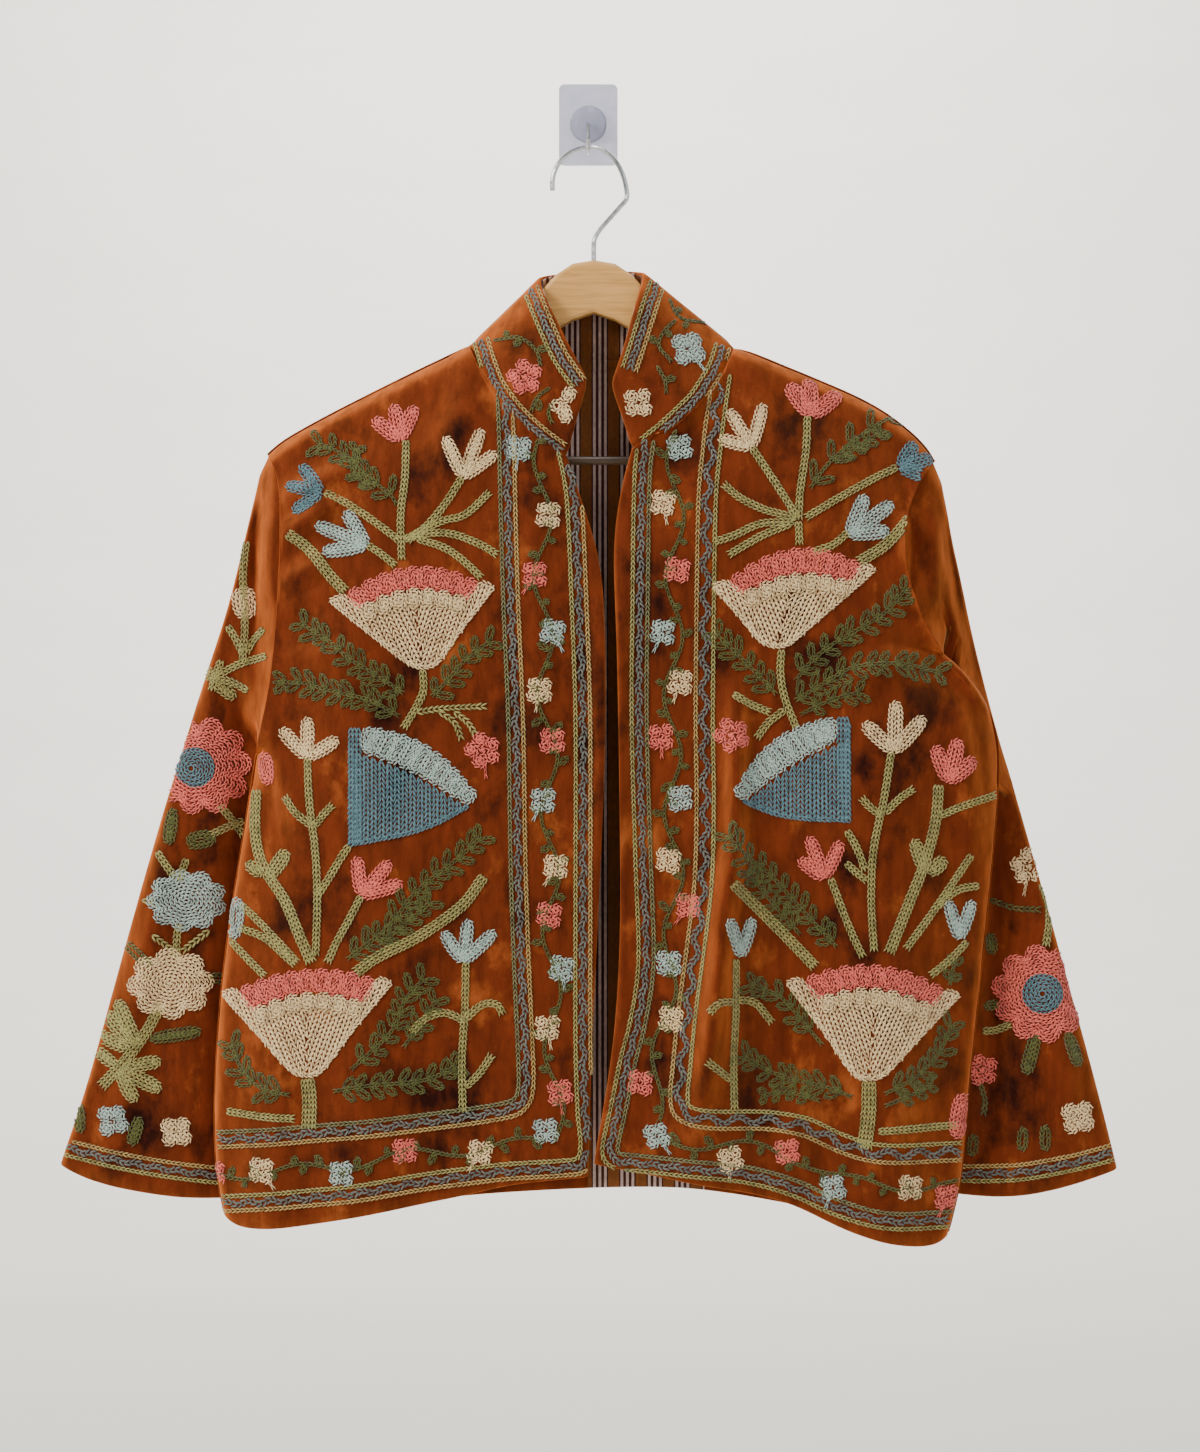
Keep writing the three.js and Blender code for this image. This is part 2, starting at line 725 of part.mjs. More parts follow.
// The collar's band, from the neck's seam up to its top edge.
function collarGrid(seam) {
  const axes = ["x", "y", "z"];
  const top = (share) => new THREE.Vector3(...axes.map((axis) => column(COLLAR_TOP, axis, share)));
  const ends = COLLAR_SPLIT;
  const shares = [
    0,
    ...steps(0, ends.right, MESH.frontNeck),
    ...steps(ends.right, ends.left, MESH.backNeck),
    ...steps(ends.left, 1, MESH.frontNeck),
  ];
  return [0, ...steps(0, 1, MESH.collarRise)].map((down) =>
    shares.map((share) => {
      const foot = seam(share);
      const head = top(share);
      const clear = CLOTH.bend / foot.distanceTo(head);
      return foot.lerp(head, mix(1, clear, down));
    }),
  );
}

// ---------------------------------------------------------------- hanger and wall hook

// The hanger's outline. Each half has its top edge under the shoulder cloth, the lobe that holds the
// bar's end, and its foot.
function hangerOutline() {
  const arm = (half) => {
    const rows = half.shoulder.map((row) => ({ at: Math.abs(row.x - HANGER.centre), z: row.z }));
    const inwards = rows.reverse();
    const below = HANGER.seat + CLOTH.wall / 2;
    return HANGER.armTurns.map((x) => ({ x, z: column(inwards, "z", x) - below }));
  };
  const side = (half) => {
    const rows = HANGER.neck.map((row) => ({ x: row.x, z: row.top }));
    const top = [...rows, ...arm(half)];
    const tip = top.at(-1);
    const lobe = HANGER.lobe;
    const end = { x: HANGER.armEnd, z: tip.z - lobe.head };
    const foot = [
      { x: HANGER.armEnd, z: lobe.foot + lobe.outerCorner },
      { x: HANGER.armEnd - lobe.outerCorner, z: lobe.foot },
      { x: lobe.from + lobe.innerCorner, z: lobe.foot },
      { x: lobe.from, z: lobe.foot + lobe.innerCorner },
      { x: lobe.from, z: tip.z - lobe.root },
      HANGER.armFoot,
      ...HANGER.neck.map((row) => ({ x: row.x, z: row.foot })).reverse(),
    ];
    return [...top, end, ...foot];
  };
  const left = side(LEFT);
  const right = side(RIGHT).slice(1, -1).reverse();
  const shape = new THREE.Shape();
  shape.moveTo(HANGER.centre + left[0].x, left[0].z);
  left.slice(1).forEach((p) => shape.lineTo(HANGER.centre + p.x, p.z));
  right.forEach((p) => shape.lineTo(HANGER.centre - p.x, p.z));
  shape.closePath();
  return shape;
}

// An outline drawn in x and z, with rounded edges, "thick" deep in y about the middle depth.
function slab(shape, thick, bevel, middleY) {
  const geometry = new THREE.ExtrudeGeometry(shape, {
    depth: thick - 2 * bevel,
    bevelThickness: bevel,
    bevelSize: bevel,
    bevelOffset: -bevel,
    bevelSegments: MESH.bevelSteps,
  });
  geometry.translate(0, 0, -(thick - 2 * bevel) / 2);
  geometry.rotateX(Math.PI / 2);
  geometry.translate(0, middleY, 0);
  return geometry;
}

// A round wire along a route, with flat ends.
function wire(points, radius, stepCount) {
  const curve = new THREE.CatmullRomCurve3(points, false, "centripetal");
  const ring = new THREE.Shape();
  ring.absarc(0, 0, radius, 0, Math.PI * 2);
  return new THREE.ExtrudeGeometry(ring, {
    steps: stepCount,
    extrudePath: curve,
    curveSegments: MESH.wireSides,
  });
}

function hangerBar() {
  const reach = HANGER.lobe.from - CLOTH.seam;
  const bar = new THREE.CylinderGeometry(HANGER.barRadius, HANGER.barRadius, 2 * reach, MESH.barSides);
  bar.rotateZ(Math.PI / 2);
  bar.translate(HANGER.centre, HANGER.y, HANGER.barZ);
  return bar;
}

function hangerHook() {
  const foot = { x: HANGER.centre, z: HANGER.neck[0].top + CLOTH.seam };
  const points = [...HOOK.route, foot].map((row) => new THREE.Vector3(row.x, HANGER.y, row.z));
  return wire(points, HOOK.wire, MESH.hookSteps);
}

function wallPlate() {
  const { width, height, corner, thick } = PLATE;
  const x = width / 2;
  const z = height / 2;
  const shape = new THREE.Shape();
  shape.moveTo(-x + corner, -z);
  shape.lineTo(x - corner, -z);
  shape.absarc(x - corner, -z + corner, corner, -Math.PI / 2, 0);
  shape.absarc(x - corner, z - corner, corner, 0, Math.PI / 2);
  shape.absarc(-x + corner, z - corner, corner, Math.PI / 2, Math.PI);
  shape.absarc(-x + corner, -z + corner, corner, Math.PI, 1.5 * Math.PI);
  const geometry = new THREE.ExtrudeGeometry(shape, {
    depth: thick,
    bevelEnabled: false,
    curveSegments: MESH.cornerTurns,
  });
  geometry.rotateX(Math.PI / 2);
  return geometry;
}

// A low dome with a straight rim, turned round the y axis.
function wallBoss() {
  const { radius, high, rim, rings } = BOSS;
  const point = (x, y) => new THREE.Vector2(x, y);
  const dome = rings.map((share) => {
    const angle = (share * Math.PI) / 2;
    return point(radius * Math.cos(angle), rim + (high - rim) * Math.sin(angle));
  });
  const profile = [point(0, 0), point(radius, 0), point(radius, rim), ...dome, point(0, high)];
  const geometry = new THREE.LatheGeometry(profile, MESH.bossSides);
  geometry.rotateX(Math.PI);
  geometry.translate(0, -PLATE.thick - CLOTH.seam, 0);
  return geometry;
}

function wallWire() {
  const points = WALL_WIRE.route.map((row) => new THREE.Vector3(0, row.y, row.z));
  return wire(points, WALL_WIRE.radius, MESH.wallWireSteps);
}

// ---------------------------------------------------------------- the part

function build() {
  const part = new THREE.Group();
  const rightPanel = frontSurface(RIGHT);
  const leftPanel = frontSurface(LEFT);
  const backPanel = backSurface();
  const rows = rowShares();
  const mirrored = (grid) => grid.map((row) => [...row].reverse());

  const back = sample(backPanel, backColumns(), rows);
  part.add(mesh("back", wall(back, CLOTH.wall), COLOUR.velvet));
  const inner = (CLOTH.wall + CLOTH.lining) / 2;
  const outside = MESH.besideSeam.length + MESH.backShoulder;
  const liningBack = movedOut(back, -inner - CLOTH.loose).slice(1, -1);
  const shown = liningBack.map((row) => row.slice(outside, -outside));
  part.add(mesh("lining_back", wall(shown, CLOTH.lining), COLOUR.lining));

  const frontRight = mirrored(sample(rightPanel, frontColumns(), rows));
  part.add(mesh("front_right", wall(frontRight, CLOTH.wall), COLOUR.velvet));
  const frontLeft = sample(leftPanel, frontColumns(), rows);
  part.add(mesh("front_left", wall(frontLeft, CLOTH.wall), COLOUR.velvet));

  const sleeveRight = sleeveGrid(RIGHT, rightPanel, backPanel);
  part.add(mesh("sleeve_right", wall(sleeveRight, CLOTH.wall, true), COLOUR.velvet));
  const sleeveLeft = sleeveGrid(LEFT, leftPanel, backPanel);
  part.add(mesh("sleeve_left", wall(sleeveLeft, CLOTH.wall, true), COLOUR.velvet));

  const collar = collarGrid(neckSeam(rightPanel, leftPanel, backPanel));
  part.add(mesh("collar", wall(collar, CLOTH.wall), COLOUR.velvet));
  const collarLining = movedOut(collar, -inner - CLOTH.seam).map((row) => row.slice(1, -1));
  part.add(mesh("collar_lining", wall(collarLining, CLOTH.lining), COLOUR.lining));

  const wood = slab(hangerOutline(), HANGER.thick, HANGER.bevel, HANGER.y);
  part.add(mesh("hanger_body", wood, COLOUR.wood));
  part.add(mesh("hanger_bar", hangerBar(), COLOUR.bar));
  part.add(mesh("hanger_hook", hangerHook(), COLOUR.chrome));
  part.add(mesh("wall_plate", wallPlate(), COLOUR.plastic));
  part.add(mesh("wall_boss", wallBoss(), COLOUR.plastic));
  part.add(mesh("wall_wire", wallWire(), COLOUR.chrome));
  return part;
}

export default build();
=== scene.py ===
"""A rust velvet jacket with chain-stitch flowers, on a wooden hanger and a wall hook.

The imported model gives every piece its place. The cloth pieces are refined copies of the packed
panels, and the embroidery is laid on them link by link. Positions on the front of the jacket are
given on a chart: across to the right and down, in units of 0.7 mm, as seen from the front.
"""

from __future__ import annotations

import itertools
import logging
import math
import random
from dataclasses import dataclass, field
from enum import Enum

import bmesh
import bpy
import numpy as np
from mathutils import Matrix, Vector, noise
from mathutils.bvhtree import BVHTree
from mathutils.kdtree import KDTree


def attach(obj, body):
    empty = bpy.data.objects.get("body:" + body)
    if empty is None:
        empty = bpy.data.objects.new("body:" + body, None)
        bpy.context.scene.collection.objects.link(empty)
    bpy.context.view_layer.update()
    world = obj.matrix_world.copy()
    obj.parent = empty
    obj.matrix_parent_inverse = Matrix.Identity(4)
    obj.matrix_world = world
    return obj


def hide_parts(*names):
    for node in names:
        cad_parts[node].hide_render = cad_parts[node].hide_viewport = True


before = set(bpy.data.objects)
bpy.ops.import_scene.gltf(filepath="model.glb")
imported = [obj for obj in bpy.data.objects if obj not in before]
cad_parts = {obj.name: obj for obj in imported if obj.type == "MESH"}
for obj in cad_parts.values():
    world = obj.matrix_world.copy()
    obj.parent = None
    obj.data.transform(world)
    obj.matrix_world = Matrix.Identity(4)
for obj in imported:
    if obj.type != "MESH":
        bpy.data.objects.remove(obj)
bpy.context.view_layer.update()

LOG = logging.getLogger("jacket")
SEED = 20417
BODY = "root"
# The attribute with each link's random shade and the painted shade at the link's foot.
STITCH_TONE_AND_PAINTED_SHADE = "stitch_tone_and_painted_shade"

Point = tuple[float, float]
Place = tuple[float, float, float]
Colour = tuple[float, float, float]
Materials = dict[str, bpy.types.Material]


@dataclass(frozen=True)
class Chart:
    """The chart on which the front of the jacket is drawn."""

    unit: float = 0.0007
    zero_across: float = 588.0
    zero_down: float = 110.0

    def to_metres(self, points: list[Point] | np.ndarray) -> np.ndarray:
        """Turns chart points into metres.

        Args:
            points: Chart points, across and down.

        Returns:
            An array of (x, z) in metres.
        """
        array = np.asarray(points, float).reshape(-1, 2)
        across = (array[:, 0] - self.zero_across) * self.unit
        return np.stack([across, (self.zero_down - array[:, 1]) * self.unit], axis=1)

    def length(self, units: float) -> float:
        """Turns a length on the chart into metres."""
        return units * self.unit


CHART = Chart()


# ---------------------------------------------------------------------------------------------
# Finishes
# ---------------------------------------------------------------------------------------------


class Graph:
    """A small helper that wires the nodes of one material."""

    main_output = {
        "ShaderNodeMix": 2,
        "ShaderNodeAttribute": "Fac",
        "ShaderNodeLayerWeight": "Facing",
        "ShaderNodeTexCoord": "Object",
    }

    def __init__(self, name: str) -> None:
        """Starts a material with a bare shader.

        Args:
            name: The material's name.
        """
        self.material = bpy.data.materials.new(name)
        self.material.use_nodes = True
        self.tree = self.material.node_tree
        self.tree.nodes.clear()
        output = self.node("ShaderNodeOutputMaterial")
        self.shader = self.node("ShaderNodeBsdfPrincipled")
        self.link(self.shader, output, "Surface")
        self.coords = self.node("ShaderNodeTexCoord")

    def node(self, kind: str, **values: object) -> bpy.types.Node:
        """Adds a node.

        Args:
            kind: The node's type name.
            **values: Properties of the node, or inputs by name with spaces as underscores.

        Returns:
            The new node.
        """
        made = self.tree.nodes.new(kind)
        for key, value in values.items():
            if hasattr(made, key):
                setattr(made, key, value)
            else:
                made.inputs[key.replace("_", " ")].default_value = value
        return made

    def link(self, source: bpy.types.Node, target: bpy.types.Node, socket: str | int) -> None:
        """Links a node's main output to an input of another node."""
        output = self.main_output.get(source.bl_idname, 0)
        self.tree.links.new(source.outputs[output], target.inputs[socket])

    def noise(
        self, scale: float, detail: float = 3.0, stretch: Place = (1.0, 1.0, 1.0), roughness: float = 0.5
    ) -> bpy.types.Node:
        """Adds a noise on the object's own coordinates.

        Args:
            scale: How many cells there are in a metre.
            detail: The number of octaves.
            stretch: The scale of the coordinates along each axis.
            roughness: The strength of the finer octaves.

        Returns:
            The noise node.
        """
        made = self.node("ShaderNodeTexNoise", Scale=scale, Detail=detail, Roughness=roughness)
        mapping = self.node("ShaderNodeMapping", Scale=stretch)
        self.link(self.coords, mapping, "Vector")
        self.link(mapping, made, "Vector")
        return made

    def ramp(self, source: bpy.types.Node, *stops: tuple[float, Colour | float]) -> bpy.types.Node:
        """Adds a colour ramp.

        Args:
            source: The node that drives the ramp.
            *stops: Pairs of a place from 0 to 1 and a linear colour, or a number for a grey.

        Returns:
            The ramp node.
        """
        made = self.node("ShaderNodeValToRGB")
        elements = made.color_ramp.elements
        while len(elements) < len(stops):
            elements.new(0.5)
        for element, (place, tone) in zip(elements, stops):
            element.position = place
            element.color = (*tone, 1.0) if isinstance(tone, tuple) else (tone, tone, tone, 1.0)
        self.link(source, made, "Fac")
        return made

    def mix(
        self,
        factor: bpy.types.Node | float,
        first: bpy.types.Node | Colour,
        second: bpy.types.Node | Colour,
        blend: str = "MIX",
    ) -> bpy.types.Node:
        """Adds a colour mix.

        Args:
            factor: A node or a number.
            first: A node or a linear colour.
            second: A node or a linear colour.
            blend: The blend type.

        Returns:
            The mix node.
        """
        made = self.node("ShaderNodeMix", data_type="RGBA", blend_type=blend)
        for socket, value in ((0, factor), (6, first), (7, second)):
            if isinstance(value, bpy.types.Node):
                self.link(value, made, socket)
            else:
                made.inputs[socket].default_value = (*value, 1.0) if socket else value
        return made

    def multiply(
        self, factor: float, first: bpy.types.Node | Colour, second: bpy.types.Node
    ) -> bpy.types.Node:
        """Adds a mix that multiplies two colours."""
        return self.mix(factor, first, second, "MULTIPLY")

    def sum(self, operation: str, source: bpy.types.Node, value: float = 0.5) -> bpy.types.Node:
        """Adds a math node.

        Args:
            operation: The kind of sum.
            source: The node that gives the first number.
            value: The second number, where the sum has one.

        Returns:
            The math node.
        """
        made = self.node("ShaderNodeMath", operation=operation)
        self.link(source, made, 0)
        made.inputs[1].default_value = value
        return made

    def roughen(self, source: bpy.types.Node, low: float, high: float) -> None:
        """Spreads the roughness between two numbers.

        Args:
            source: The node that drives it.
            low: The least roughness.
            high: The largest roughness.
        """
        spread = self.node("ShaderNodeMapRange", To_Min=low, To_Max=high)
        self.link(source, spread, "Value")
        self.link(spread, self.shader, "Roughness")

    def bump(
        self,
        height: bpy.types.Node,
        strength: float,
        distance: float,
        before: bpy.types.Node | None = None,
    ) -> bpy.types.Node:
        """Adds a bump and links it to the shader.

        Args:
            height: The node that gives the height.
            strength: The strength from 0 to 1.
            distance: The height of the bump in metres.
            before: An earlier bump whose result this one adds to.

        Returns:
            The bump node.
        """
        made = self.node("ShaderNodeBump", Strength=strength, Distance=distance)
        self.link(height, made, "Height")
        if before is not None:
            self.link(before, made, "Normal")
        self.link(made, self.shader, "Normal")
        return made

    def finish(self, colour: bpy.types.Node, **values: float | tuple[float, ...]) -> bpy.types.Material:
        """Links the base colour and sets the shader's own sockets.

        Args:
            colour: The node that gives the base colour.
            **values: The sockets' values, named with underscores for spaces.

        Returns:
            The finished material.
        """
        self.link(colour, self.shader, "Base Color")
        for key, value in values.items():
            self.shader.inputs[key.replace("_", " ")].default_value = value
        return self.material


class Finish:
    """Anything that makes one material."""

    def build(self) -> bpy.types.Material:
        """Makes the material.

        Returns:
            The material.
        """
        raise NotImplementedError


@dataclass(frozen=True)
class VelvetFinish(Finish):
    """Cotton velvet whose crushed nap is lighter in patches, with painted sheen at grazing angles."""

    name: str = "velvet"
    deep: Colour = (0.024, 0.0034, 0.0010)
    middle: Colour = (0.150, 0.0250, 0.0054)
    bright: Colour = (0.56, 0.140, 0.027)
    # The colour of the painted rim highlight where the cloth turns fully away from the eye.
    rim: Colour = (0.62, 0.25, 0.11)
    sheen_colour: tuple[float, float, float, float] = (1.0, 0.36, 0.10, 1.0)
    crush_scale: float = 24.0
    streak_scale: float = 120.0
    nap_scale: float = 1500.0
    sheen: float = 0.16

    def build(self) -> bpy.types.Material:
        """Makes the velvet from crush marks, streaks and nap, with painted sheen as it turns from the eye.

        Returns:
            The velvet material.
        """
        graph = Graph(self.name)
        patches = graph.noise(self.crush_scale, 6.0, (1.0, 1.0, 0.7), 0.62)
        crush = graph.ramp(
            patches, (0.33, self.deep), (0.48, self.middle), (0.58, self.middle), (0.86, self.bright)
        )
        streaks = graph.noise(self.streak_scale, 3.0, (1.0, 1.0, 0.3), 0.6)
        streak_tone = graph.ramp(streaks, (0.28, (0.60, 0.58, 0.56)), (0.72, (1.35, 1.38, 1.38)))
        mottled = graph.multiply(0.8, crush, streak_tone)
        nap = graph.noise(self.nap_scale, 2.0)
        napped = graph.multiply(0.6, mottled, graph.ramp(nap, (0.3, 0.8), (0.7, 1.2)))
        # Painted sheen: the further the cloth turns from the eye, the more it takes the bright colour.
        facing = graph.node("ShaderNodeLayerWeight", Blend=0.5)
        painted_sheen_slope = graph.ramp(facing, (0.03, 0.0), (0.32, 0.44), (0.8, 0.95))
        with_painted_sheen = graph.mix(painted_sheen_slope, napped, graph.multiply(0.9, self.bright, streak_tone))
        # Painted rim highlight at the cloth's edges, driven by the same facing.
        edge = graph.ramp(facing, (0.78, 0.0), (1.0, 0.85))
        soft = graph.bump(patches, 0.6, 0.0016)
        graph.link(soft, facing, "Normal")
        graph.bump(streaks, 0.45, 0.0004, soft)
        return graph.finish(
            graph.mix(edge, with_painted_sheen, self.rim),
            Roughness=0.9,
            Sheen_Weight=self.sheen,
            Sheen_Roughness=0.28,
            Sheen_Tint=self.sheen_colour,
            Specular_IOR_Level=0.12,
        )


@dataclass(frozen=True)
class StripeFinish(Finish):
    """Woven lining with groups of three fine light stripes."""

    name: str = "striped lining"
    period: float = 0.0196
    first: float = -0.0172
    ground: Colour = (0.22, 0.070, 0.011)
    shade: Colour = (0.050, 0.0080, 0.0045)
    stripe: Colour = (0.62, 0.46, 0.42)
    threads: int = 6
    thread_share: float = 0.10
    weave_scale: float = 900.0
    dapple_scale: float = 18.0

    def build(self) -> bpy.types.Material:
        """Makes the stripes along X, with a worn weave.

        Returns:
            The lining material.
        """
        graph = Graph(self.name)
        across = graph.node("ShaderNodeSeparateXYZ")
        graph.link(graph.coords, across, "Vector")
        repeats = graph.sum("DIVIDE", graph.sum("SUBTRACT", across, self.first), self.period)
        threads = [
            (self.thread_share * k + 0.05, self.shade if k % 2 else self.stripe)
            for k in range(self.threads)
        ]
        stripes = graph.ramp(
            graph.sum("FRACT", repeats), (0.00, self.shade), *threads, (0.60, self.ground)
        )
        stripes.color_ramp.interpolation = "CONSTANT"
        weave = graph.noise(self.weave_scale, 2.0, (1.0, 1.0, 0.3))
        broken = graph.multiply(0.8, stripes, graph.ramp(weave, (0.3, 0.72), (0.7, 1.25)))
        dapple = graph.noise(self.dapple_scale)
        dapple_tone = graph.ramp(dapple, (0.3, (0.7, 0.66, 0.6)), (0.7, (1.2, 1.16, 1.1)))
        graph.bump(weave, 0.4, 0.0002)
        tone = graph.multiply(0.8, broken, dapple_tone)
        return graph.finish(tone, Roughness=0.82, Sheen_Weight=0.2, Specular_IOR_Level=0.25)


@dataclass(frozen=True)
class WoodFinish(Finish):
    """Lacquered or stained wood with grain along one axis."""

    name: str
    light: Colour
    dark: Colour
    grain: Place = (0.35, 3.0, 6.0)
    ring_scale: float = 42.0
    pore_scale: float = 520.0

    def build(self) -> bpy.types.Material:
        """Makes the grain and the pores under a thin lacquer.

        Returns:
            The wood material.
        """
        graph = Graph(self.name)
        rings = graph.noise(self.ring_scale, 5.0, self.grain, 0.6)
        pores = graph.noise(self.pore_scale, 2.0, (self.grain[0] * 0.3, 1.0, 1.6))
        tone = graph.multiply(
            0.7,
            graph.ramp(rings, (0.28, self.dark), (0.66, self.light)),
            graph.ramp(pores, (0.30, (0.80, 0.76, 0.70)), (0.48, 1.0)),
        )
        graph.bump(pores, 0.15, 0.0001)
        return graph.finish(tone, Roughness=0.42, Coat_Weight=0.25, Coat_Roughness=0.25)


@dataclass(frozen=True)
class ChromeFinish(Finish):
    """Bright plated wire with faint wear."""

    name: str = "plated wire"
    wear_scale: float = 320.0
    roughness: tuple[float, float] = (0.12, 0.28)

    def build(self) -> bpy.types.Material:
        """Makes the bright metal with its wear.

        Returns:
            The metal material.
        """
        graph = Graph(self.name)
        wear = graph.noise(self.wear_scale)
        graph.roughen(wear, *self.roughness)
        graph.bump(wear, 0.08, 0.0001)
        tone = graph.ramp(wear, (0.3, (0.52, 0.53, 0.55)), (0.7, (0.74, 0.75, 0.77)))
        return graph.finish(tone, Metallic=1.0)


@dataclass(frozen=True)
class ClearPlasticFinish(Finish):
    """Clear moulded plastic with a faint lilac tint."""

    name: str = "clear plastic"
    tint: Colour = (0.56, 0.57, 0.70)
    haze_scale: float = 120.0
    roughness: tuple[float, float] = (0.10, 0.24)
    clearness: float = 0.55

    def build(self) -> bpy.types.Material:
        """Makes the hazy plastic.

        Returns:
            The plastic material.
        """
        graph = Graph(self.name)
        haze = graph.noise(self.haze_scale)
        graph.roughen(haze, *self.roughness)
        graph.bump(haze, 0.05, 0.0002)
        clear = tuple(min(1.0, c * 1.14) for c in self.tint)
        tone = graph.ramp(haze, (0.3, self.tint), (0.7, clear))
        return graph.finish(tone, Transmission_Weight=self.clearness, IOR=1.46, Specular_IOR_Level=0.5)


@dataclass(frozen=True)
class YarnFinish(Finish):
    """Wool yarn, with a shade that varies from link to link and painted shade at the foot of each link."""

    name: str
    dark: Colour
    light: Colour
    fuzz_scale: float = 1400.0

    def build(self) -> bpy.types.Material:
        """Makes the wool from each link's random shade and painted shade, and a fine fuzz.

        Returns:
            The yarn material.
        """
        graph = Graph(self.name)
        # The attribute holds each link's random shade and painted shade at its foot.
        shade = graph.node("ShaderNodeAttribute", attribute_name=STITCH_TONE_AND_PAINTED_SHADE)
        fuzz = graph.noise(self.fuzz_scale, 2.0)
        tone = graph.multiply(
            0.7,
            graph.ramp(shade, (0.0, self.dark), (1.0, self.light)),
            graph.ramp(fuzz, (0.3, 0.72), (0.7, 1.22)),
        )
        graph.bump(fuzz, 0.5, 0.0003)
        return graph.finish(
            tone, Roughness=0.9, Sheen_Weight=0.35, Sheen_Roughness=0.5, Specular_IOR_Level=0.15
        )


@dataclass(frozen=True)
class PlasterFinish(Finish):
    """Pale painted plaster for the wall and the floor."""

    name: str = "pale plaster"
    colour: Colour = (0.81, 0.792, 0.742)
    brush_scale: float = 3.0

    def build(self) -> bpy.types.Material:
        """Makes the brushed plaster.

        Returns:
            The plaster material.
        """
        graph = Graph(self.name)
        brushed = graph.noise(self.brush_scale, 6.0, (0.25, 1.0, 2.0), 0.6)
        graph.bump(brushed, 0.2, 0.002)
        tone = graph.ramp(brushed, (0.3, tuple(c * 0.95 for c in self.colour)), (0.7, self.colour))
        return graph.finish(tone, Roughness=0.95, Specular_IOR_Level=0.1)


class Yarn(Enum):
    """The colours of wool in the embroidery."""

    CORAL = YarnFinish("coral wool", (0.20, 0.014, 0.012), (0.90, 0.165, 0.125))
    CREAM = YarnFinish("cream wool", (0.21, 0.095, 0.030), (0.95, 0.69, 0.36))
    DENIM = YarnFinish("denim wool", (0.008, 0.028, 0.040), (0.115, 0.225, 0.265))
    SKY = YarnFinish("sky wool", (0.045, 0.085, 0.080), (0.44, 0.57, 0.51))
    OLIVE = YarnFinish("olive wool", (0.030, 0.036, 0.006), (0.40, 0.360, 0.115))
    MOSS = YarnFinish("moss wool", (0.006, 0.011, 0.002), (0.118, 0.125, 0.028))
    SAGE = YarnFinish("sage wool", (0.016, 0.024, 0.012), (0.22, 0.225, 0.095))
    STRAW = YarnFinish("straw wool", (0.070, 0.036, 0.008), (0.52, 0.35, 0.110))
    SLATE = YarnFinish("slate wool", (0.012, 0.017, 0.016), (0.160, 0.172, 0.150))


CORAL, CREAM, DENIM, SKY, OLIVE, MOSS, SAGE, STRAW, SLATE = Yarn


# ---------------------------------------------------------------------------------------------
# Rows of chain stitch
# ---------------------------------------------------------------------------------------------


ROW_INSET = 2.0
LOOP_STEP = 3.9


@dataclass
class Row:
    """One row of chain links, as a line on the chart."""

    points: list[Point] | np.ndarray
    yarn: Yarn
    closed: bool = False
    width: float = 1.0
    lift: float = 0.0


def bend(points: list[Point] | np.ndarray, steps: int = 10) -> np.ndarray:
    """Draws a smooth line through a few points.

    Args:
        points: The points that the line passes.
        steps: How many steps there are between two points.

    Returns:
        The points of the line.
    """
    p = np.asarray(points, float)
    if len(p) < 3:
        return p
    p = np.vstack([2 * p[0] - p[1], p, 2 * p[-1] - p[-2]])
    t = np.linspace(0.0, 1.0, steps, endpoint=False)[:, None]
    made = []
    for a, b, c, d in zip(p, p[1:], p[2:], p[3:]):
        curve = 2 * b + (c - a) * t + (2 * a - 5 * b + 4 * c - d) * t**2
        made.append(0.5 * (curve + (3 * b - a - 3 * c + d) * t**3))
    return np.vstack([*made, p[-2]])


def distances(points: np.ndarray) -> np.ndarray:
    """Measures how far along a line each of its points lies.

    Args:
        points: The points of the line.

    Returns:
        The distances from the line's start.
    """
    steps = np.linalg.norm(np.diff(points, axis=0), axis=1)
    return np.concatenate([[0.0], np.cumsum(steps)])


def evenly(points: np.ndarray, step: float) -> tuple[np.ndarray, np.ndarray]:
    """Places points on a line at even distances.

    Args:
        points: The points of the line.
        step: The distance between two new points, in chart units.

    Returns:
        The new points and their distances from the line's start.
    """
    run = distances(points)
    places = np.linspace(0.0, run[-1], max(4, int(run[-1] / step)))
    return np.stack([np.interp(places, run, points[:, k]) for k in (0, 1)], axis=1), places


def directions(points: np.ndarray) -> tuple[np.ndarray, np.ndarray]:
    """Finds the direction of a line at each of its points.

    Args:
        points: The points of the line.

    Returns:
        The unit vectors along the line, and those to its right.
    """
    along = np.gradient(points, axis=0)
    along /= np.maximum(np.linalg.norm(along, axis=1, keepdims=True), 1e-9)
    return along, np.stack([-along[:, 1], along[:, 0]], axis=1)


def beside(points: np.ndarray, offset: float | np.ndarray) -> np.ndarray:
    """Draws a line beside another.

    Args:
        points: The points of the first line.
        offset: How far to the right of its direction the new line lies, in chart units.

    Returns:
        The points of the new line.
    """
    return points + offset * directions(points)[1]


def compass(angle: float | np.ndarray) -> np.ndarray:
    """Gives the unit vector of an angle in radians, clockwise from the chart's right."""
    return np.stack([np.cos(angle), np.sin(angle)], axis=-1)


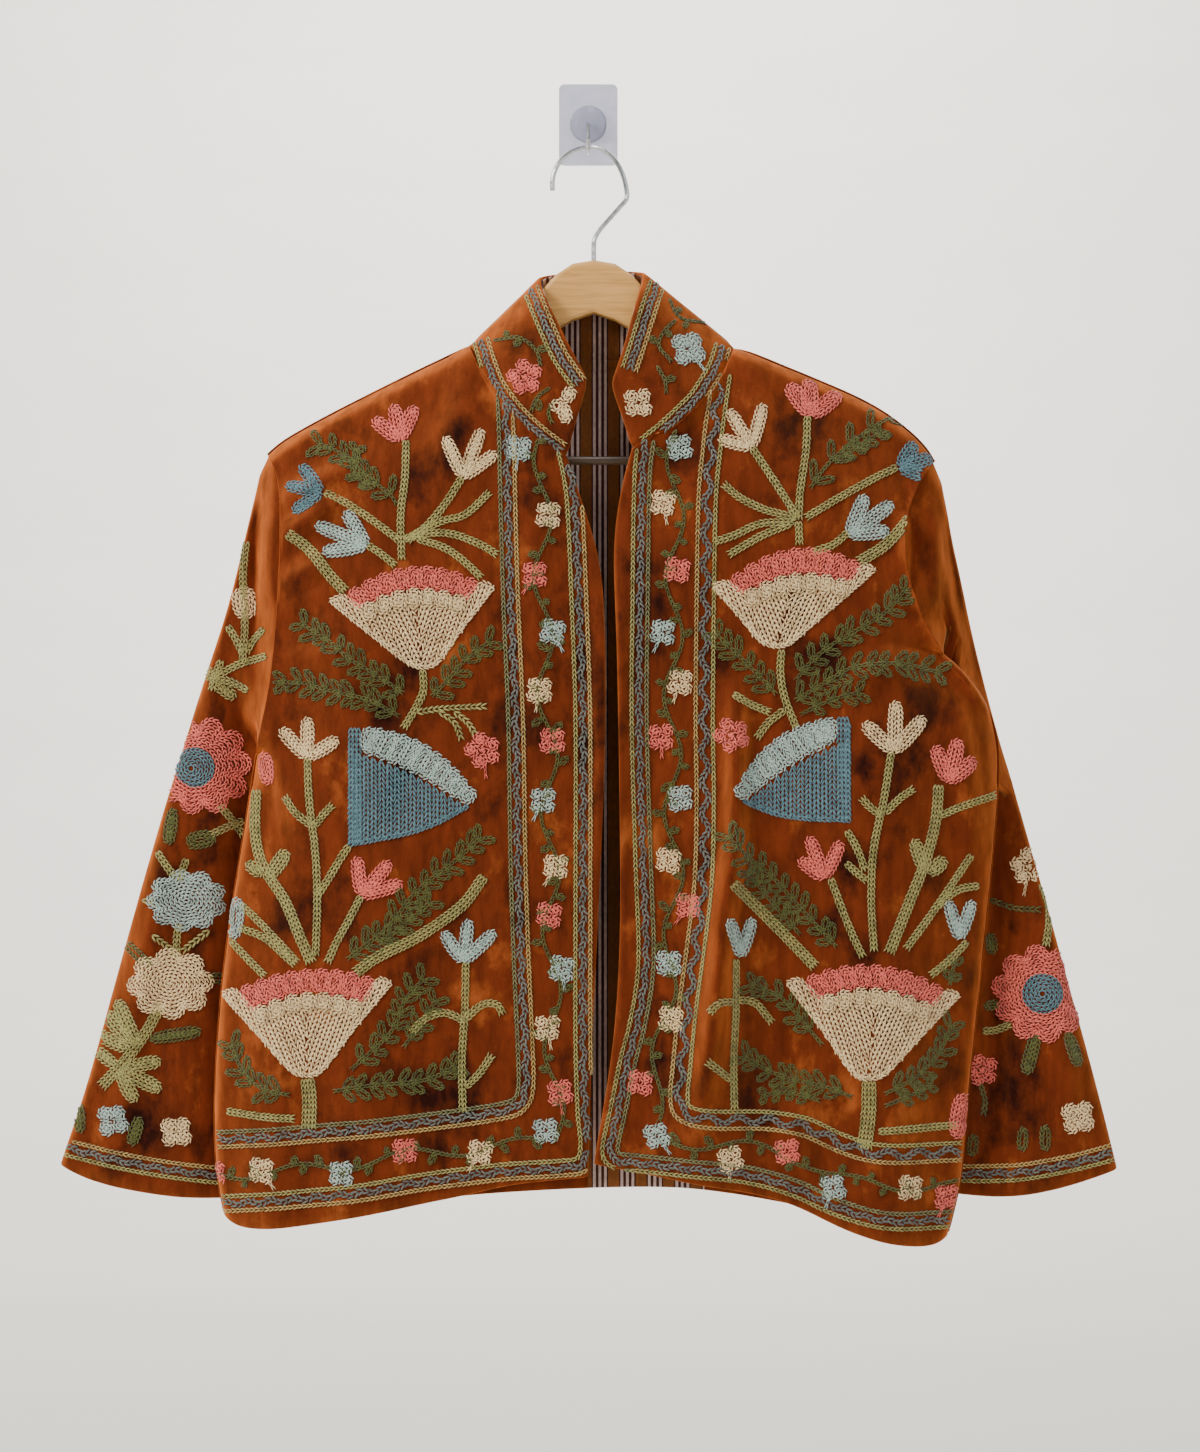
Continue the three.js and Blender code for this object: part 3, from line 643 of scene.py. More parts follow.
def hatch(
    outline: np.ndarray, angle: float, yarn: Yarn, inset: float = 2.2, pitch: float = LOOP_STEP
) -> list[Row]:
    """Fills an outline with straight rows.

    Args:
        outline: The closed outline.
        angle: The direction of the rows in degrees, clockwise from the chart's right.
        yarn: The yarn.
        inset: How far the rows stay inside the outline, in chart units.
        pitch: The distance between two rows, in chart units.

    Returns:
        The rows.
    """
    along = compass(math.radians(angle))
    across = np.array([-along[1], along[0]])
    u, v = outline @ along, outline @ across
    rows: list[Row] = []
    count = max(1, round((v.max() - v.min() - 2 * inset) / pitch) + 1)
    for level in np.linspace(v.min() + inset, v.max() - inset, count):
        crossings = []
        for k in range(len(outline)):
            m = (k + 1) % len(outline)
            if (v[k] <= level) != (v[m] <= level):
                crossings.append(u[k] + (level - v[k]) / (v[m] - v[k]) * (u[m] - u[k]))
        crossings.sort()
        for start, end in zip(crossings[::2], crossings[1::2]):
            if end - start > 2 * inset:
                ends = [start + inset, end - inset]
                if len(rows) % 2:
                    ends.reverse()
                rows.append(Row([along * e + across * level for e in ends], yarn, width=1.08))
    return rows


class Motif:
    """Anything that is drawn on the chart and stitched."""

    def rows(self, rng: random.Random) -> list[Row]:
        """Gives the motif's rows of chain stitch.

        Args:
            rng: A seeded source of small differences.

        Returns:
            The rows.
        """
        raise NotImplementedError


@dataclass
class Stem(Motif):
    """A stem or a twig, of rows side by side."""

    points: list[Point]
    strands: int = 2
    yarn: Yarn = OLIVE
    width: float = 0.88
    spread: float = 3.5

    def rows(self, rng: random.Random) -> list[Row]:
        """Gives rows side by side along the stem.

        Args:
            rng: Not used here.

        Returns:
            The rows.
        """
        line = bend(self.points)
        offsets = [(k - (self.strands - 1) / 2) * self.spread for k in range(self.strands)]
        return [Row(beside(line, offset), self.yarn, width=self.width) for offset in offsets]


@dataclass
class Petal(Motif):
    """A petal or leaf with round ends from its root to its tip."""

    root: Point | np.ndarray
    tip: Point | np.ndarray
    width: float
    yarn: Yarn
    thread: float = 1.0
    swell: float = 0.10
    end_power: float = 0.8
    side_power: float = 0.62
    steps: int = 32

    def rows(self, rng: random.Random) -> list[Row]:
        """Gives loops inside each other, from the rim to the middle.

        Args:
            rng: Not used here.

        Returns:
            The rows.
        """
        root, tip = np.asarray(self.root, float), np.asarray(self.tip, float)
        reach = tip - root
        length = float(np.linalg.norm(reach))
        along = reach / length
        across = np.array([-along[1], along[0]])
        t = np.linspace(0.0, math.tau, self.steps, endpoint=False)
        round_end = np.sign(np.cos(t)) * np.abs(np.cos(t)) ** self.end_power
        flat_side = np.sign(np.sin(t)) * np.abs(np.sin(t)) ** self.side_power
        made = []
        inset = ROW_INSET
        while self.width / 2 > inset:
            ends = np.outer(round_end * (length / 2 - inset), along)
            half_width = (self.width / 2 - inset) * (1.0 + self.swell * np.cos(t))
            loop = (root + tip) / 2 + ends + np.outer(flat_side * half_width, across)
            made.append(Row(loop, self.yarn, True, self.thread))
            inset += LOOP_STEP
        return made or [Row([root, tip], self.yarn)]


@dataclass
class Blossom(Motif):
    """Three petals on one root, like an open tulip."""

    root: Point
    tips: list[Point]
    yarn: Yarn
    width: float
    slimness: float = 0.86

    def rows(self, rng: random.Random) -> list[Row]:
        """Gives the rows of all its petals.

        Args:
            rng: Passed on to the petals.

        Returns:
            The rows.
        """
        width = self.width * self.slimness
        petals = [Petal(self.root, tip, width, self.yarn) for tip in self.tips]
        return [row for petal in petals for row in petal.rows(rng)]


@dataclass
class Bloom(Motif):
    """A small flower whose petals are round loops about its centre."""

    centre: Point
    yarn: Yarn
    radius: float
    petals: int = 4
    tailed: float = 0.4
    filled_from: float = 5.6
    heart: float = 2.2
    filling: float = 0.45
    steps: int = 14

    def rows(self, rng: random.Random) -> list[Row]:
        """Gives one ring with a filled middle for each petal, and often a short tail.

        Args:
            rng: The source of the flower's turn, tail and uneven petals.

        Returns:
            The rows.
        """
        turn = math.pi / 4 + rng.uniform(-0.25, 0.25)
        middle = np.asarray(self.centre, float)
        ring = self.radius * (0.47 if self.petals < 5 else 0.40)
        circle = compass(np.linspace(0.0, math.tau, self.steps, endpoint=False))
        made = []
        if rng.random() < self.tailed:
            way = compass(rng.uniform(0.9, 2.2))
            tail = [middle + way * self.radius * k for k in (0.7, 1.5)]
            made.append(Row(tail, self.yarn, width=0.6))
        for k in range(self.petals):
            out = compass(turn + k * math.tau / self.petals + rng.uniform(-0.1, 0.1))
            petal = middle + out * (self.radius - ring) * rng.uniform(0.94, 1.06)
            size = (ring - ROW_INSET) * rng.uniform(0.94, 1.08)
            loop = petal + size * circle
            made.append(Row(loop, self.yarn, True))
            if size > self.filled_from:
                made.append(Row(petal + (loop - petal) * self.filling, self.yarn, True))
            else:
                across = np.array([-out[1], out[0]]) * self.heart
                made.append(Row([petal - across, petal + across], self.yarn))
        if self.petals > 4:
            made.append(Row(middle + self.heart * circle, self.yarn, True))
        return made


@dataclass
class Rosette(Motif):
    """A large round flower with a scalloped rim and a heart of another colour."""

    centre: Point
    yarn: Yarn
    radius: float
    petals: int = 8
    heart: Yarn | None = None
    heart_share: float = 0.45
    squash: float = 1.0
    drift: Point = (0.0, 0.0)
    smooth_share: float = 0.42
    ring_step: float = 4.3
    scallop: float = 0.62
    steps: int = 96

    def rows(self, rng: random.Random) -> list[Row]:
        """Gives rings inside each other, the outer ones scalloped.

        Args:
            rng: The source of the flower's turn.

        Returns:
            The rows.
        """
        turn = rng.uniform(0.0, math.tau)
        made = []
        reach = self.radius - ROW_INSET
        t = np.linspace(0.0, math.tau, self.steps, endpoint=False)
        while reach > 1.0:
            share = reach / self.radius
            depth = self.scallop * max(0.0, share - self.smooth_share)
            lobes = 1.0 + depth * (np.abs(np.cos(self.petals * t / 2 + turn)) ** 0.6 - 0.7)
            tall = lobes * self.squash
            ring = np.stack([np.cos(t) * lobes, np.sin(t) * tall], axis=1) * reach
            middle = np.asarray(self.centre) + np.asarray(self.drift) * (1 - share)
            in_heart = self.heart is not None and share < self.heart_share
            made.append(Row(ring + middle, self.heart if in_heart else self.yarn, True))
            reach -= self.ring_step
        return made


@dataclass
class Cup(Motif):
    """A wide cup with two horns on a stem, and a crown of petals in its mouth."""

    left: Point
    right: Point
    base: Point
    crown: float
    brim: float
    petals: int = 9
    ribs: int = 7
    sag: float = 13.0
    horn: float = 5.5
    belly: Point = (16.0, -6.0)
    mouth_start: float = 0.20
    mouth_span: float = 0.62
    petal_width: float = 17.5
    rib_length: float = 20.0
    rib_width: float = 15.5
    rib_lift: float = 0.0009

    def _on_chord(self, share: float, drop: float) -> np.ndarray:
        """Gives the point at a share of the way between the horns' tips, that far below."""
        left = np.asarray(self.left, float)
        return left + (np.asarray(self.right, float) - left) * share + np.array([0.0, drop])

    def _crown_rows(self, rng: random.Random) -> list[Row]:
        """Gives the coral petals that stand in the mouth.

        Args:
            rng: Passed on to the petals.

        Returns:
            The rows.
        """
        made: list[Row] = []
        for k in range(self.petals):
            t = (k + 0.5) / self.petals
            swell = math.sin(math.pi * t) ** 0.7
            foot = self._on_chord(0.19 + 0.63 * t, self.brim + 10.0 - 14.0 * math.sin(math.pi * t))
            head = self._on_chord(0.09 + 0.83 * t, 3.0 - (self.crown + 3.0) * swell)
            made += Petal(foot, head, self.petal_width, CORAL).rows(rng)
        return made

    def _side(self, tip: np.ndarray, base: np.ndarray, way: float) -> np.ndarray:
        """Draws one side of the cup.

        Args:
            tip: The horn's tip.
            base: The foot of the cup.
            way: 1 for the right side and -1 for the left one.

        Returns:
            The line from the horn to the foot.
        """
        waist = tip * 0.52 + base * 0.48 + (3.0 * way, 4.0)
        return np.array([tip + (0.0, 4.0), waist, base + (self.belly[0] * way, self.belly[1]), base])

    def rows(self, rng: random.Random) -> list[Row]:
        """Gives the crown's petals, the cup's filling, its outline and its ribs.

        Args:
            rng: Passed on to the petals.

        Returns:
            The rows.
        """
        left, right, base = (np.asarray(p, float) for p in (self.left, self.right, self.base))
        made = self._crown_rows(rng)
        t = np.linspace(0.0, 1.0, 71)
        shares = self.mouth_start + self.mouth_span * t
        drops = self.brim + 11.0 - self.sag * np.sin(math.pi * t)
        mouth = np.array([self._on_chord(share, drop) for share, drop in zip(shares, drops)])
        inner_left = self._on_chord(0.035, -1.0) + np.array([self.horn, 0.0])
        inner_right = self._on_chord(0.965, -1.0) - np.array([self.horn, 0.0])
        side_left = bend(self._side(left, base, -1.0))
        side_right = bend(self._side(right, base, 1.0)[::-1])
        left_half = np.vstack([side_left, mouth[35], mouth[34::-1], inner_left])
        right_half = np.vstack([side_right, inner_right, mouth[:35:-1], mouth[35]])
        for tip, half in ((left, left_half), (right, right_half)):
            lean = math.degrees(math.atan2(base[1] - tip[1], base[0] - tip[0]))
            made += hatch(half, (lean + 90.0) / 2, CREAM)
        outline = np.vstack([side_left, side_right, inner_right, mouth[::-1], inner_left])
        spokes = outline - outline.mean(axis=0)
        spokes /= np.linalg.norm(spokes, axis=1, keepdims=True)
        made.append(Row(outline - spokes * 2.2, CREAM, True))
        for k in range(self.ribs):
            t = (k + 0.5) / self.ribs
            drop = self.brim + 6.0 - self.sag * math.sin(math.pi * t)
            top = self._on_chord(self.mouth_start + self.mouth_span * t, drop)
            foot = top + (0.0, self.rib_length)
            for row in Petal(foot, top, self.rib_width, CREAM).rows(rng):
                row.lift = self.rib_lift
                made.append(row)
        return made


@dataclass
class Fan(Motif):
    """A quarter of a disc in two blues, whose rim is a row of round petals."""

    top: Point
    corner: Point
    far: Point
    rim: float = 30.0
    bulge: float = 21.0
    scallops: int = 11
    scallop_width: float = 17.0
    steps: int = 96
    edge_rows: tuple[float, ...] = (2.0, 5.8, 9.6)

    def rows(self, rng: random.Random) -> list[Row]:
        """Gives the rows of the inner part, of the rim and of the straight edge.

        Args:
            rng: Passed on to the petals.

        Returns:
            The rows.
        """
        top, corner, far = (np.asarray(p, float) for p in (self.top, self.corner, self.far))
        side = math.copysign(1.0, far[0] - top[0])
        t = np.linspace(0.0, 1.0, self.steps + 1)
        chord = far - top
        out = np.array([chord[1], -chord[0]]) / np.linalg.norm(chord) * side
        outer = top + np.outer(t, chord) + np.outer(np.sin(math.pi * t) * self.bulge, out)
        depth = self.rim * np.sin(math.pi * np.clip(t * 0.86 + 0.14, 0, 1)) ** 0.5
        scallops: list[Row] = []
        for k in range(self.scallops):
            place = int(self.steps * (0.09 + 0.86 * (k + 0.5) / self.scallops))
            foot = outer[place] - out * max(6.0, depth[place])
            foot[0] = top[0] + side * max((foot[0] - top[0]) * side, 18.0)
            scallops += Petal(foot, outer[place] + out * 3.0, self.scallop_width, SKY).rows(rng)
        inner = outer - np.outer(depth, out)
        inner[:, 0] = top[0] + side * np.maximum((inner[:, 0] - top[0]) * side, 2.0)
        lower = bend([far, far * 0.55 + corner * 0.45 + (0.0, 9.0), corner])
        made = hatch(np.vstack([top, inner, lower]), 90.0, DENIM, 1.6) + scallops
        for step in self.edge_rows:
            edge = [top + (side * step, 1.0), corner + (side * step, -2.0)]
            made.append(Row(edge, DENIM, width=1.1))
        made.append(Row(lower[2:] + (0.0, -2.2), DENIM))
        return made


@dataclass
class Sprig(Motif):
    """A moss twig with a pair of narrow leaves at every turn, drawn from its tip to its root."""

    points: list[Point]
    leaf: float = 20.0
    gap: float = 14.5
    leaf_width: float = 9.4
    thread: float = 0.68
    lean: float = 44.0

    def rows(self, rng: random.Random) -> list[Row]:
        """Gives the twig's row and a closed loop for each leaf.

        Args:
            rng: The source of the leaves' uneven places, leans and sizes.

        Returns:
            The rows.
        """
        line, _ = evenly(bend(self.points), 3.0)
        made = [Row(line, MOSS, width=0.8)]
        run = distances(line)
        place = 1.0
        while place < run[-1] - 4.0:
            k = min(int(np.searchsorted(run, place)), len(line) - 2)
            back = line[k] - line[k + 1]
            heading = math.atan2(back[1], back[0])
            for side in (1, -1):
                lean = heading + side * math.radians(self.lean + rng.uniform(-9, 9))
                tip = line[k] + compass(lean) * (self.leaf * rng.uniform(0.88, 1.12))
                made += Petal(line[k], tip, self.leaf_width, MOSS, self.thread).rows(rng)
            place += self.gap * rng.uniform(0.9, 1.1)
        return made


@dataclass
class Border(Motif):
    """Three rows along an edge, the middle one wavy and wide."""

    points: list[Point]
    gap: float = 7.4
    wave: float = 2.3
    wavelength: float = 23.0
    yarns: tuple[Yarn, Yarn, Yarn] = (STRAW, SLATE, OLIVE)

    def rows(self, rng: random.Random) -> list[Row]:
        """Gives the two plain rows and the wavy one.

        Args:
            rng: Not used here.

        Returns:
            The rows.
        """
        line = bend(self.points, 14)
        fine, places = evenly(line, 3.0)
        swing = self.wave * np.sin(places / self.wavelength * math.tau)
        return [
            Row(beside(line, -self.gap), self.yarns[0], width=0.88),
            Row(beside(line, self.gap), self.yarns[2], width=0.88),
            Row(beside(fine, swing[:, None]), self.yarns[1], width=1.32),
        ]


@dataclass
class Vine(Motif):
    """A moss vine that winds between small flowers, with leaves at its turns."""

    points: list[Point]
    swing: float = 9.0
    wavelength: float = 118.0
    leaf_step: int = 4
    leaf_width: float = 8.8
    thread: float = 0.66

    def rows(self, rng: random.Random) -> list[Row]:
        """Gives the winding row and its leaves.

        Args:
            rng: The source of the leaves' leans and lengths.

        Returns:
            The rows.
        """
        line, places = evenly(bend(self.points, 14), 4.0)
        along, across = directions(line)
        wound = line + across * (self.swing * np.sin(places / self.wavelength * math.tau))[:, None]
        made = [Row(wound, MOSS, width=0.8)]
        for k in range(3, len(line) - 3, self.leaf_step):
            side = 1 if (k // self.leaf_step) % 2 else -1
            lean = across[k] * side + along[k] * rng.uniform(-0.9, 0.9)
            tip = wound[k] + lean * rng.uniform(9.0, 14.0)
            made += Petal(wound[k], tip, self.leaf_width, MOSS, self.thread).rows(rng)
        return made


# ---------------------------------------------------------------------------------------------
# The patterns of the pieces
# ---------------------------------------------------------------------------------------------


def small_blooms(places: list[Point]) -> list[Motif]:
    """Makes small flowers in sky, cream and coral by turns."""
    return [Bloom(place, yarn, 15.0) for place, yarn in zip(places, itertools.cycle((SKY, CREAM, CORAL)))]


# The wearer's right front, on the chart's left.
RIGHT_FRONT: list[Motif] = [
    Border(
        [
            (504, 372), (506, 420), (508, 500), (511, 600), (516, 720), (518, 850), (521, 950), (525, 1040),
            (526, 1085), (520, 1103), (500, 1111), (430, 1121), (320, 1132), (206, 1142),
        ],
        yarns=(STRAW, SLATE, SAGE),
    ),
    Border(
        [
            (563, 440), (571, 475), (575, 510), (579, 600), (583, 720), (583, 900), (583, 1040), (585, 1110),
            (588, 1145), (582, 1164), (560, 1168), (500, 1172), (420, 1182), (340, 1194), (206, 1207),
        ],
    ),
    Vine([(543, 430), (543, 600), (549, 760), (551, 900), (553, 1040), (556, 1140)]),
    Vine([(545, 1140), (480, 1148), (400, 1155), (310, 1168), (215, 1176)], 6.0, 110.0),
    *small_blooms(
        [
            (519, 448), (548, 515), (535, 575), (553, 632), (540, 690), (553, 740),
            (543, 800), (556, 866), (549, 914), (562, 968), (547, 1027), (560, 1092),
            (546, 1130), (480, 1152), (405, 1150), (342, 1172), (262, 1170), (212, 1175),
        ]
    ),
    Blossom((400, 440), [(372, 417), (393, 402), (415, 404)], CORAL, 17),
    Stem([(406, 440), (405, 480), (401, 515), (402, 560)]),
    Blossom((463, 478), [(445, 436), (482, 428), (497, 452)], CREAM, 15),
    Stem([(462, 478), (445, 505), (428, 525), (408, 541)]),
    Blossom((322, 492), [(299, 463), (284, 484), (292, 512)], DENIM, 15),
    Stem([(325, 492), (350, 505), (375, 522), (399, 540)]),
    Blossom((368, 546), [(345, 510), (315, 524), (322, 552)], SKY, 16),
    Stem([(368, 545), (383, 555), (396, 566)]),
    Stem([(405, 540), (440, 522), (465, 515), (490, 492)]),
    Stem([(412, 536), (445, 533), (475, 542), (498, 555)]),
    Stem([(418, 539), (445, 548), (465, 562), (482, 578)]),
    Stem([(288, 533), (310, 550), (330, 575), (346, 592)], 3),
    Cup((329, 596), (496, 582), (423, 670), 23.0, 6.0),
    Stem([(423, 670), (424, 690), (416, 708), (404, 728)]),
    Stem([(418, 712), (445, 708), (487, 706)], 1, width=1.3),
    Stem([(440, 712), (455, 722), (462, 740)], 1, width=1.3),
    Stem([(455, 712), (468, 722), (476, 735)], 1, width=1.3),
    Bloom((483, 750), CORAL, 19, 5),
    Fan((350, 727), (351, 846), (480, 802)),
    Stem([(350, 845), (340, 860), (328, 880), (318, 895)]),
    Blossom((308, 758), [(280, 728), (308, 716), (340, 738)], CREAM, 16),
    Stem([(308, 758), (310, 800), (316, 850), (318, 900), (316, 955)]),
    Stem([(312, 825), (296, 812), (285, 796)]),
    Stem([(316, 825), (326, 812), (334, 804)]),
    Petal((268, 785), (263, 752), 17, CORAL),
    Stem([(255, 790), (254, 830), (262, 865), (285, 900), (300, 935), (312, 962)], 3),
    Petal((262, 876), (245, 862), 13, OLIVE),
    Petal((268, 878), (288, 850), 15, OLIVE),
    Blossom((362, 895), [(358, 855), (392, 860), (404, 882)], CORAL, 16),
    Stem([(362, 895), (352, 915), (338, 940), (328, 962)]),
    Stem([(484, 876), (462, 905), (420, 935), (380, 955), (356, 972)], 3),
    Stem([(240, 905), (262, 925), (285, 948), (298, 962)]),
    Stem([(238, 928), (265, 938), (285, 955), (296, 964)]),
    Stem([(226, 938), (248, 960), (265, 976)]),
    Petal((232, 940), (236, 898), 17, SKY),
    Cup((219, 990), (394, 976), (307, 1077), 15.0, 15.0),
    Stem([(308, 1078), (310, 1100), (309, 1128)], 4),
    Stem([(226, 1112), (260, 1116), (295, 1118)]),
    Blossom((463, 962), [(443, 930), (469, 918), (496, 930)], SKY, 15),
    Stem([(466, 962), (465, 1010), (462, 1060), (463, 1112)]),
    Stem([(464, 1020), (445, 1012), (425, 1018), (412, 1032)]),
    Stem([(466, 1018), (482, 1004), (497, 1004), (503, 1014)]),
    Stem([(466, 1086), (480, 1072), (492, 1054)]),
    Sprig([(318, 443), (333, 448), (352, 462), (367, 477), (390, 494), (397, 505)]),
    Sprig([(303, 624), (331, 642), (351, 659), (376, 674), (404, 693)]),
    Sprig([(268, 682), (299, 682), (312, 685), (341, 693), (371, 700), (400, 716)]),
    Sprig([(490, 642), (470, 655), (450, 678), (432, 696)], 20),
    Sprig([(480, 838), (458, 858), (432, 878), (410, 898), (390, 925), (348, 958)], 20),
    Sprig([(430, 902), (404, 925), (380, 942)], 17),
    Sprig([(424, 978), (406, 998), (392, 1030), (352, 1068)], 20),
    Sprig([(455, 1066), (430, 1078), (400, 1082), (370, 1084), (334, 1090)], 20),
    Sprig([(230, 1046), (243, 1072), (262, 1088), (290, 1094)], 20),
    Sprig([(436, 1000), (420, 1024), (404, 1046)], 17),
    Sprig([(356, 448), (352, 470), (372, 486)], 14),
]

# The wearer's left front, on the chart's right.
LEFT_FRONT: list[Motif] = [
    Border(
        [
            (722, 372), (715, 420), (711, 455), (707, 500), (705, 600), (704, 720), (705, 800), (703, 880),
            (695, 950), (687, 1010), (682, 1060), (679, 1098), (686, 1112), (715, 1118),
            (770, 1120), (805, 1126), (840, 1142), (880, 1152), (968, 1153),
        ],
        8.6,
        4.0,
        31.0,
        (OLIVE, SLATE, STRAW),
    ),
    Border(
        [
            (646, 440), (642, 480), (640, 600), (639, 720), (643, 860), (646, 960), (638, 1020), (628, 1060),
            (618, 1110), (610, 1148), (616, 1160), (640, 1163), (700, 1168), (750, 1175),
            (795, 1188), (840, 1208), (890, 1220), (966, 1221),
        ],
        7.6,
        1.8,
        22.0,
        (SAGE, SLATE, OLIVE),
    ),
    Vine([(676, 430), (674, 600), (672, 760), (674, 900), (664, 1020), (652, 1120)]),
    Vine([(668, 1140), (740, 1145), (800, 1158), (850, 1180), (960, 1188)], 6.0, 110.0),
    *small_blooms(
        [
            (680, 447), (663, 503), (677, 570), (663, 632), (680, 682), (661, 736),
            (680, 798), (668, 860), (688, 905), (669, 962), (671, 1018), (640, 1082),
            (657, 1135), (730, 1158), (787, 1150), (833, 1187), (910, 1187), (948, 1198),
        ]
    ),
    Blossom((812, 415), [(789, 382), (810, 376), (842, 390)], CORAL, 20),
    Stem([(808, 415), (806, 450), (800, 490), (798, 520)]),
    Blossom((752, 448), [(728, 408), (764, 402), (718, 438)], CREAM, 15),
    Stem([(752, 448), (770, 475), (786, 500), (796, 518)]),
    Blossom((900, 466), [(918, 440), (936, 455), (932, 476)], DENIM, 17),
    Stem([(898, 466), (870, 480), (835, 500), (805, 518)]),
    Blossom((848, 535), [(866, 494), (894, 502), (890, 530)], SKY, 17),
    Stem([(848, 532), (832, 545), (812, 552)]),
    Stem([(796, 518), (765, 510), (740, 498), (723, 484)]),
    Stem([(794, 522), (760, 524), (735, 535), (714, 542)]),
    Stem([(790, 524), (765, 534), (745, 545), (728, 555)]),
    Stem([(798, 522), (799, 545)]),
    Stem([(921, 496), (908, 520), (885, 545), (858, 562)], 3),
    Cup((711, 582), (877, 564), (776, 649), 25.0, 7.0),
    Stem([(781, 650), (780, 675), (785, 700), (796, 728)]),
    Stem([(733, 694), (750, 704), (770, 712)]),
    Stem([(784, 710), (768, 722), (756, 738)]),
    Bloom((731, 735), CORAL, 18, 5),
    Fan((848, 716), (849, 822), (731, 798)),
    Stem([(846, 830), (856, 848), (864, 870)]),
    Stem([(845, 862), (856, 872), (866, 880)]),
    Blossom((893, 752), [(862, 722), (895, 700), (924, 716)], CREAM, 17),
    Stem([(890, 752), (882, 800), (872, 850), (870, 900), (873, 950)]),
    Stem([(880, 815), (868, 806), (860, 797)]),
    Stem([(884, 812), (898, 798), (913, 788)]),
    Blossom((948, 782), [(934, 745), (958, 738), (976, 758)], CORAL, 18),
    Stem([(938, 785), (935, 820), (925, 860), (905, 910), (888, 952)], 3),
    Stem([(940, 815), (965, 805), (998, 795)]),
    Petal((924, 872), (913, 838), 14, OLIVE),
    Petal((928, 874), (946, 858), 15, OLIVE),
    Blossom((824, 878), [(798, 858), (808, 835), (840, 840)], CORAL, 16),
    Stem([(830, 878), (840, 905), (852, 935), (862, 956)]),
    Stem([(732, 882), (755, 905), (785, 935), (815, 966)], 3),
    Stem([(972, 855), (955, 880), (930, 915), (905, 948)]),
    Stem([(980, 886), (958, 890), (938, 905)]),
    Stem([(968, 942), (950, 960), (930, 975)]),
    Blossom((740, 956), [(728, 916), (752, 916)], SKY, 15),
    Blossom((960, 940), [(948, 900), (974, 900)], SKY, 15),
    Cup((785, 977), (962, 991), (868, 1080), 21.0, 9.0),
    Stem([(868, 1080), (868, 1110), (864, 1148)], 4),
    Stem([(878, 1130), (910, 1128), (960, 1126)]),
    Stem([(735, 958), (735, 1010), (733, 1060), (734, 1108)]),
    Stem([(732, 1000), (718, 1000), (708, 1010)]),
    Stem([(738, 998), (755, 1002), (772, 1022)]),
    Stem([(730, 1078), (718, 1068), (706, 1058)]),
    Petal((958, 1140), (966, 1095), 22, CORAL),
    Sprig([(892, 415), (868, 430), (845, 448), (826, 466), (810, 488)], 24, gap=25.0),
    Sprig([(905, 590), (885, 612), (860, 628), (835, 642), (812, 660), (795, 680)], 20),
    Sprig([(938, 672), (905, 664), (875, 664), (850, 668), (825, 682), (795, 700)], 20),
    Sprig([(858, 692), (830, 700), (800, 714)], 17),
    Sprig([(716, 634), (735, 652), (755, 672), (776, 694)], 20),
    Sprig([(728, 836), (747, 856), (768, 872), (790, 896), (812, 920), (836, 946)]),
    Sprig([(748, 872), (772, 902), (800, 934)], 17),
    Sprig([(752, 984), (780, 996), (800, 1018), (822, 1044)], 20),
    Sprig([(744, 1056), (768, 1070), (798, 1080), (826, 1086), (852, 1096)]),
    Sprig([(952, 1026), (940, 1052), (918, 1074), (884, 1092)], 20),
    Sprig([(955, 962), (950, 985)], 15),
    Sprig([(880, 432), (858, 446), (836, 462)], 15),
    Sprig([(764, 1094), (790, 1092), (820, 1100)], 14),
    Sprig([(930, 1086), (905, 1096), (884, 1104)], 14),
]

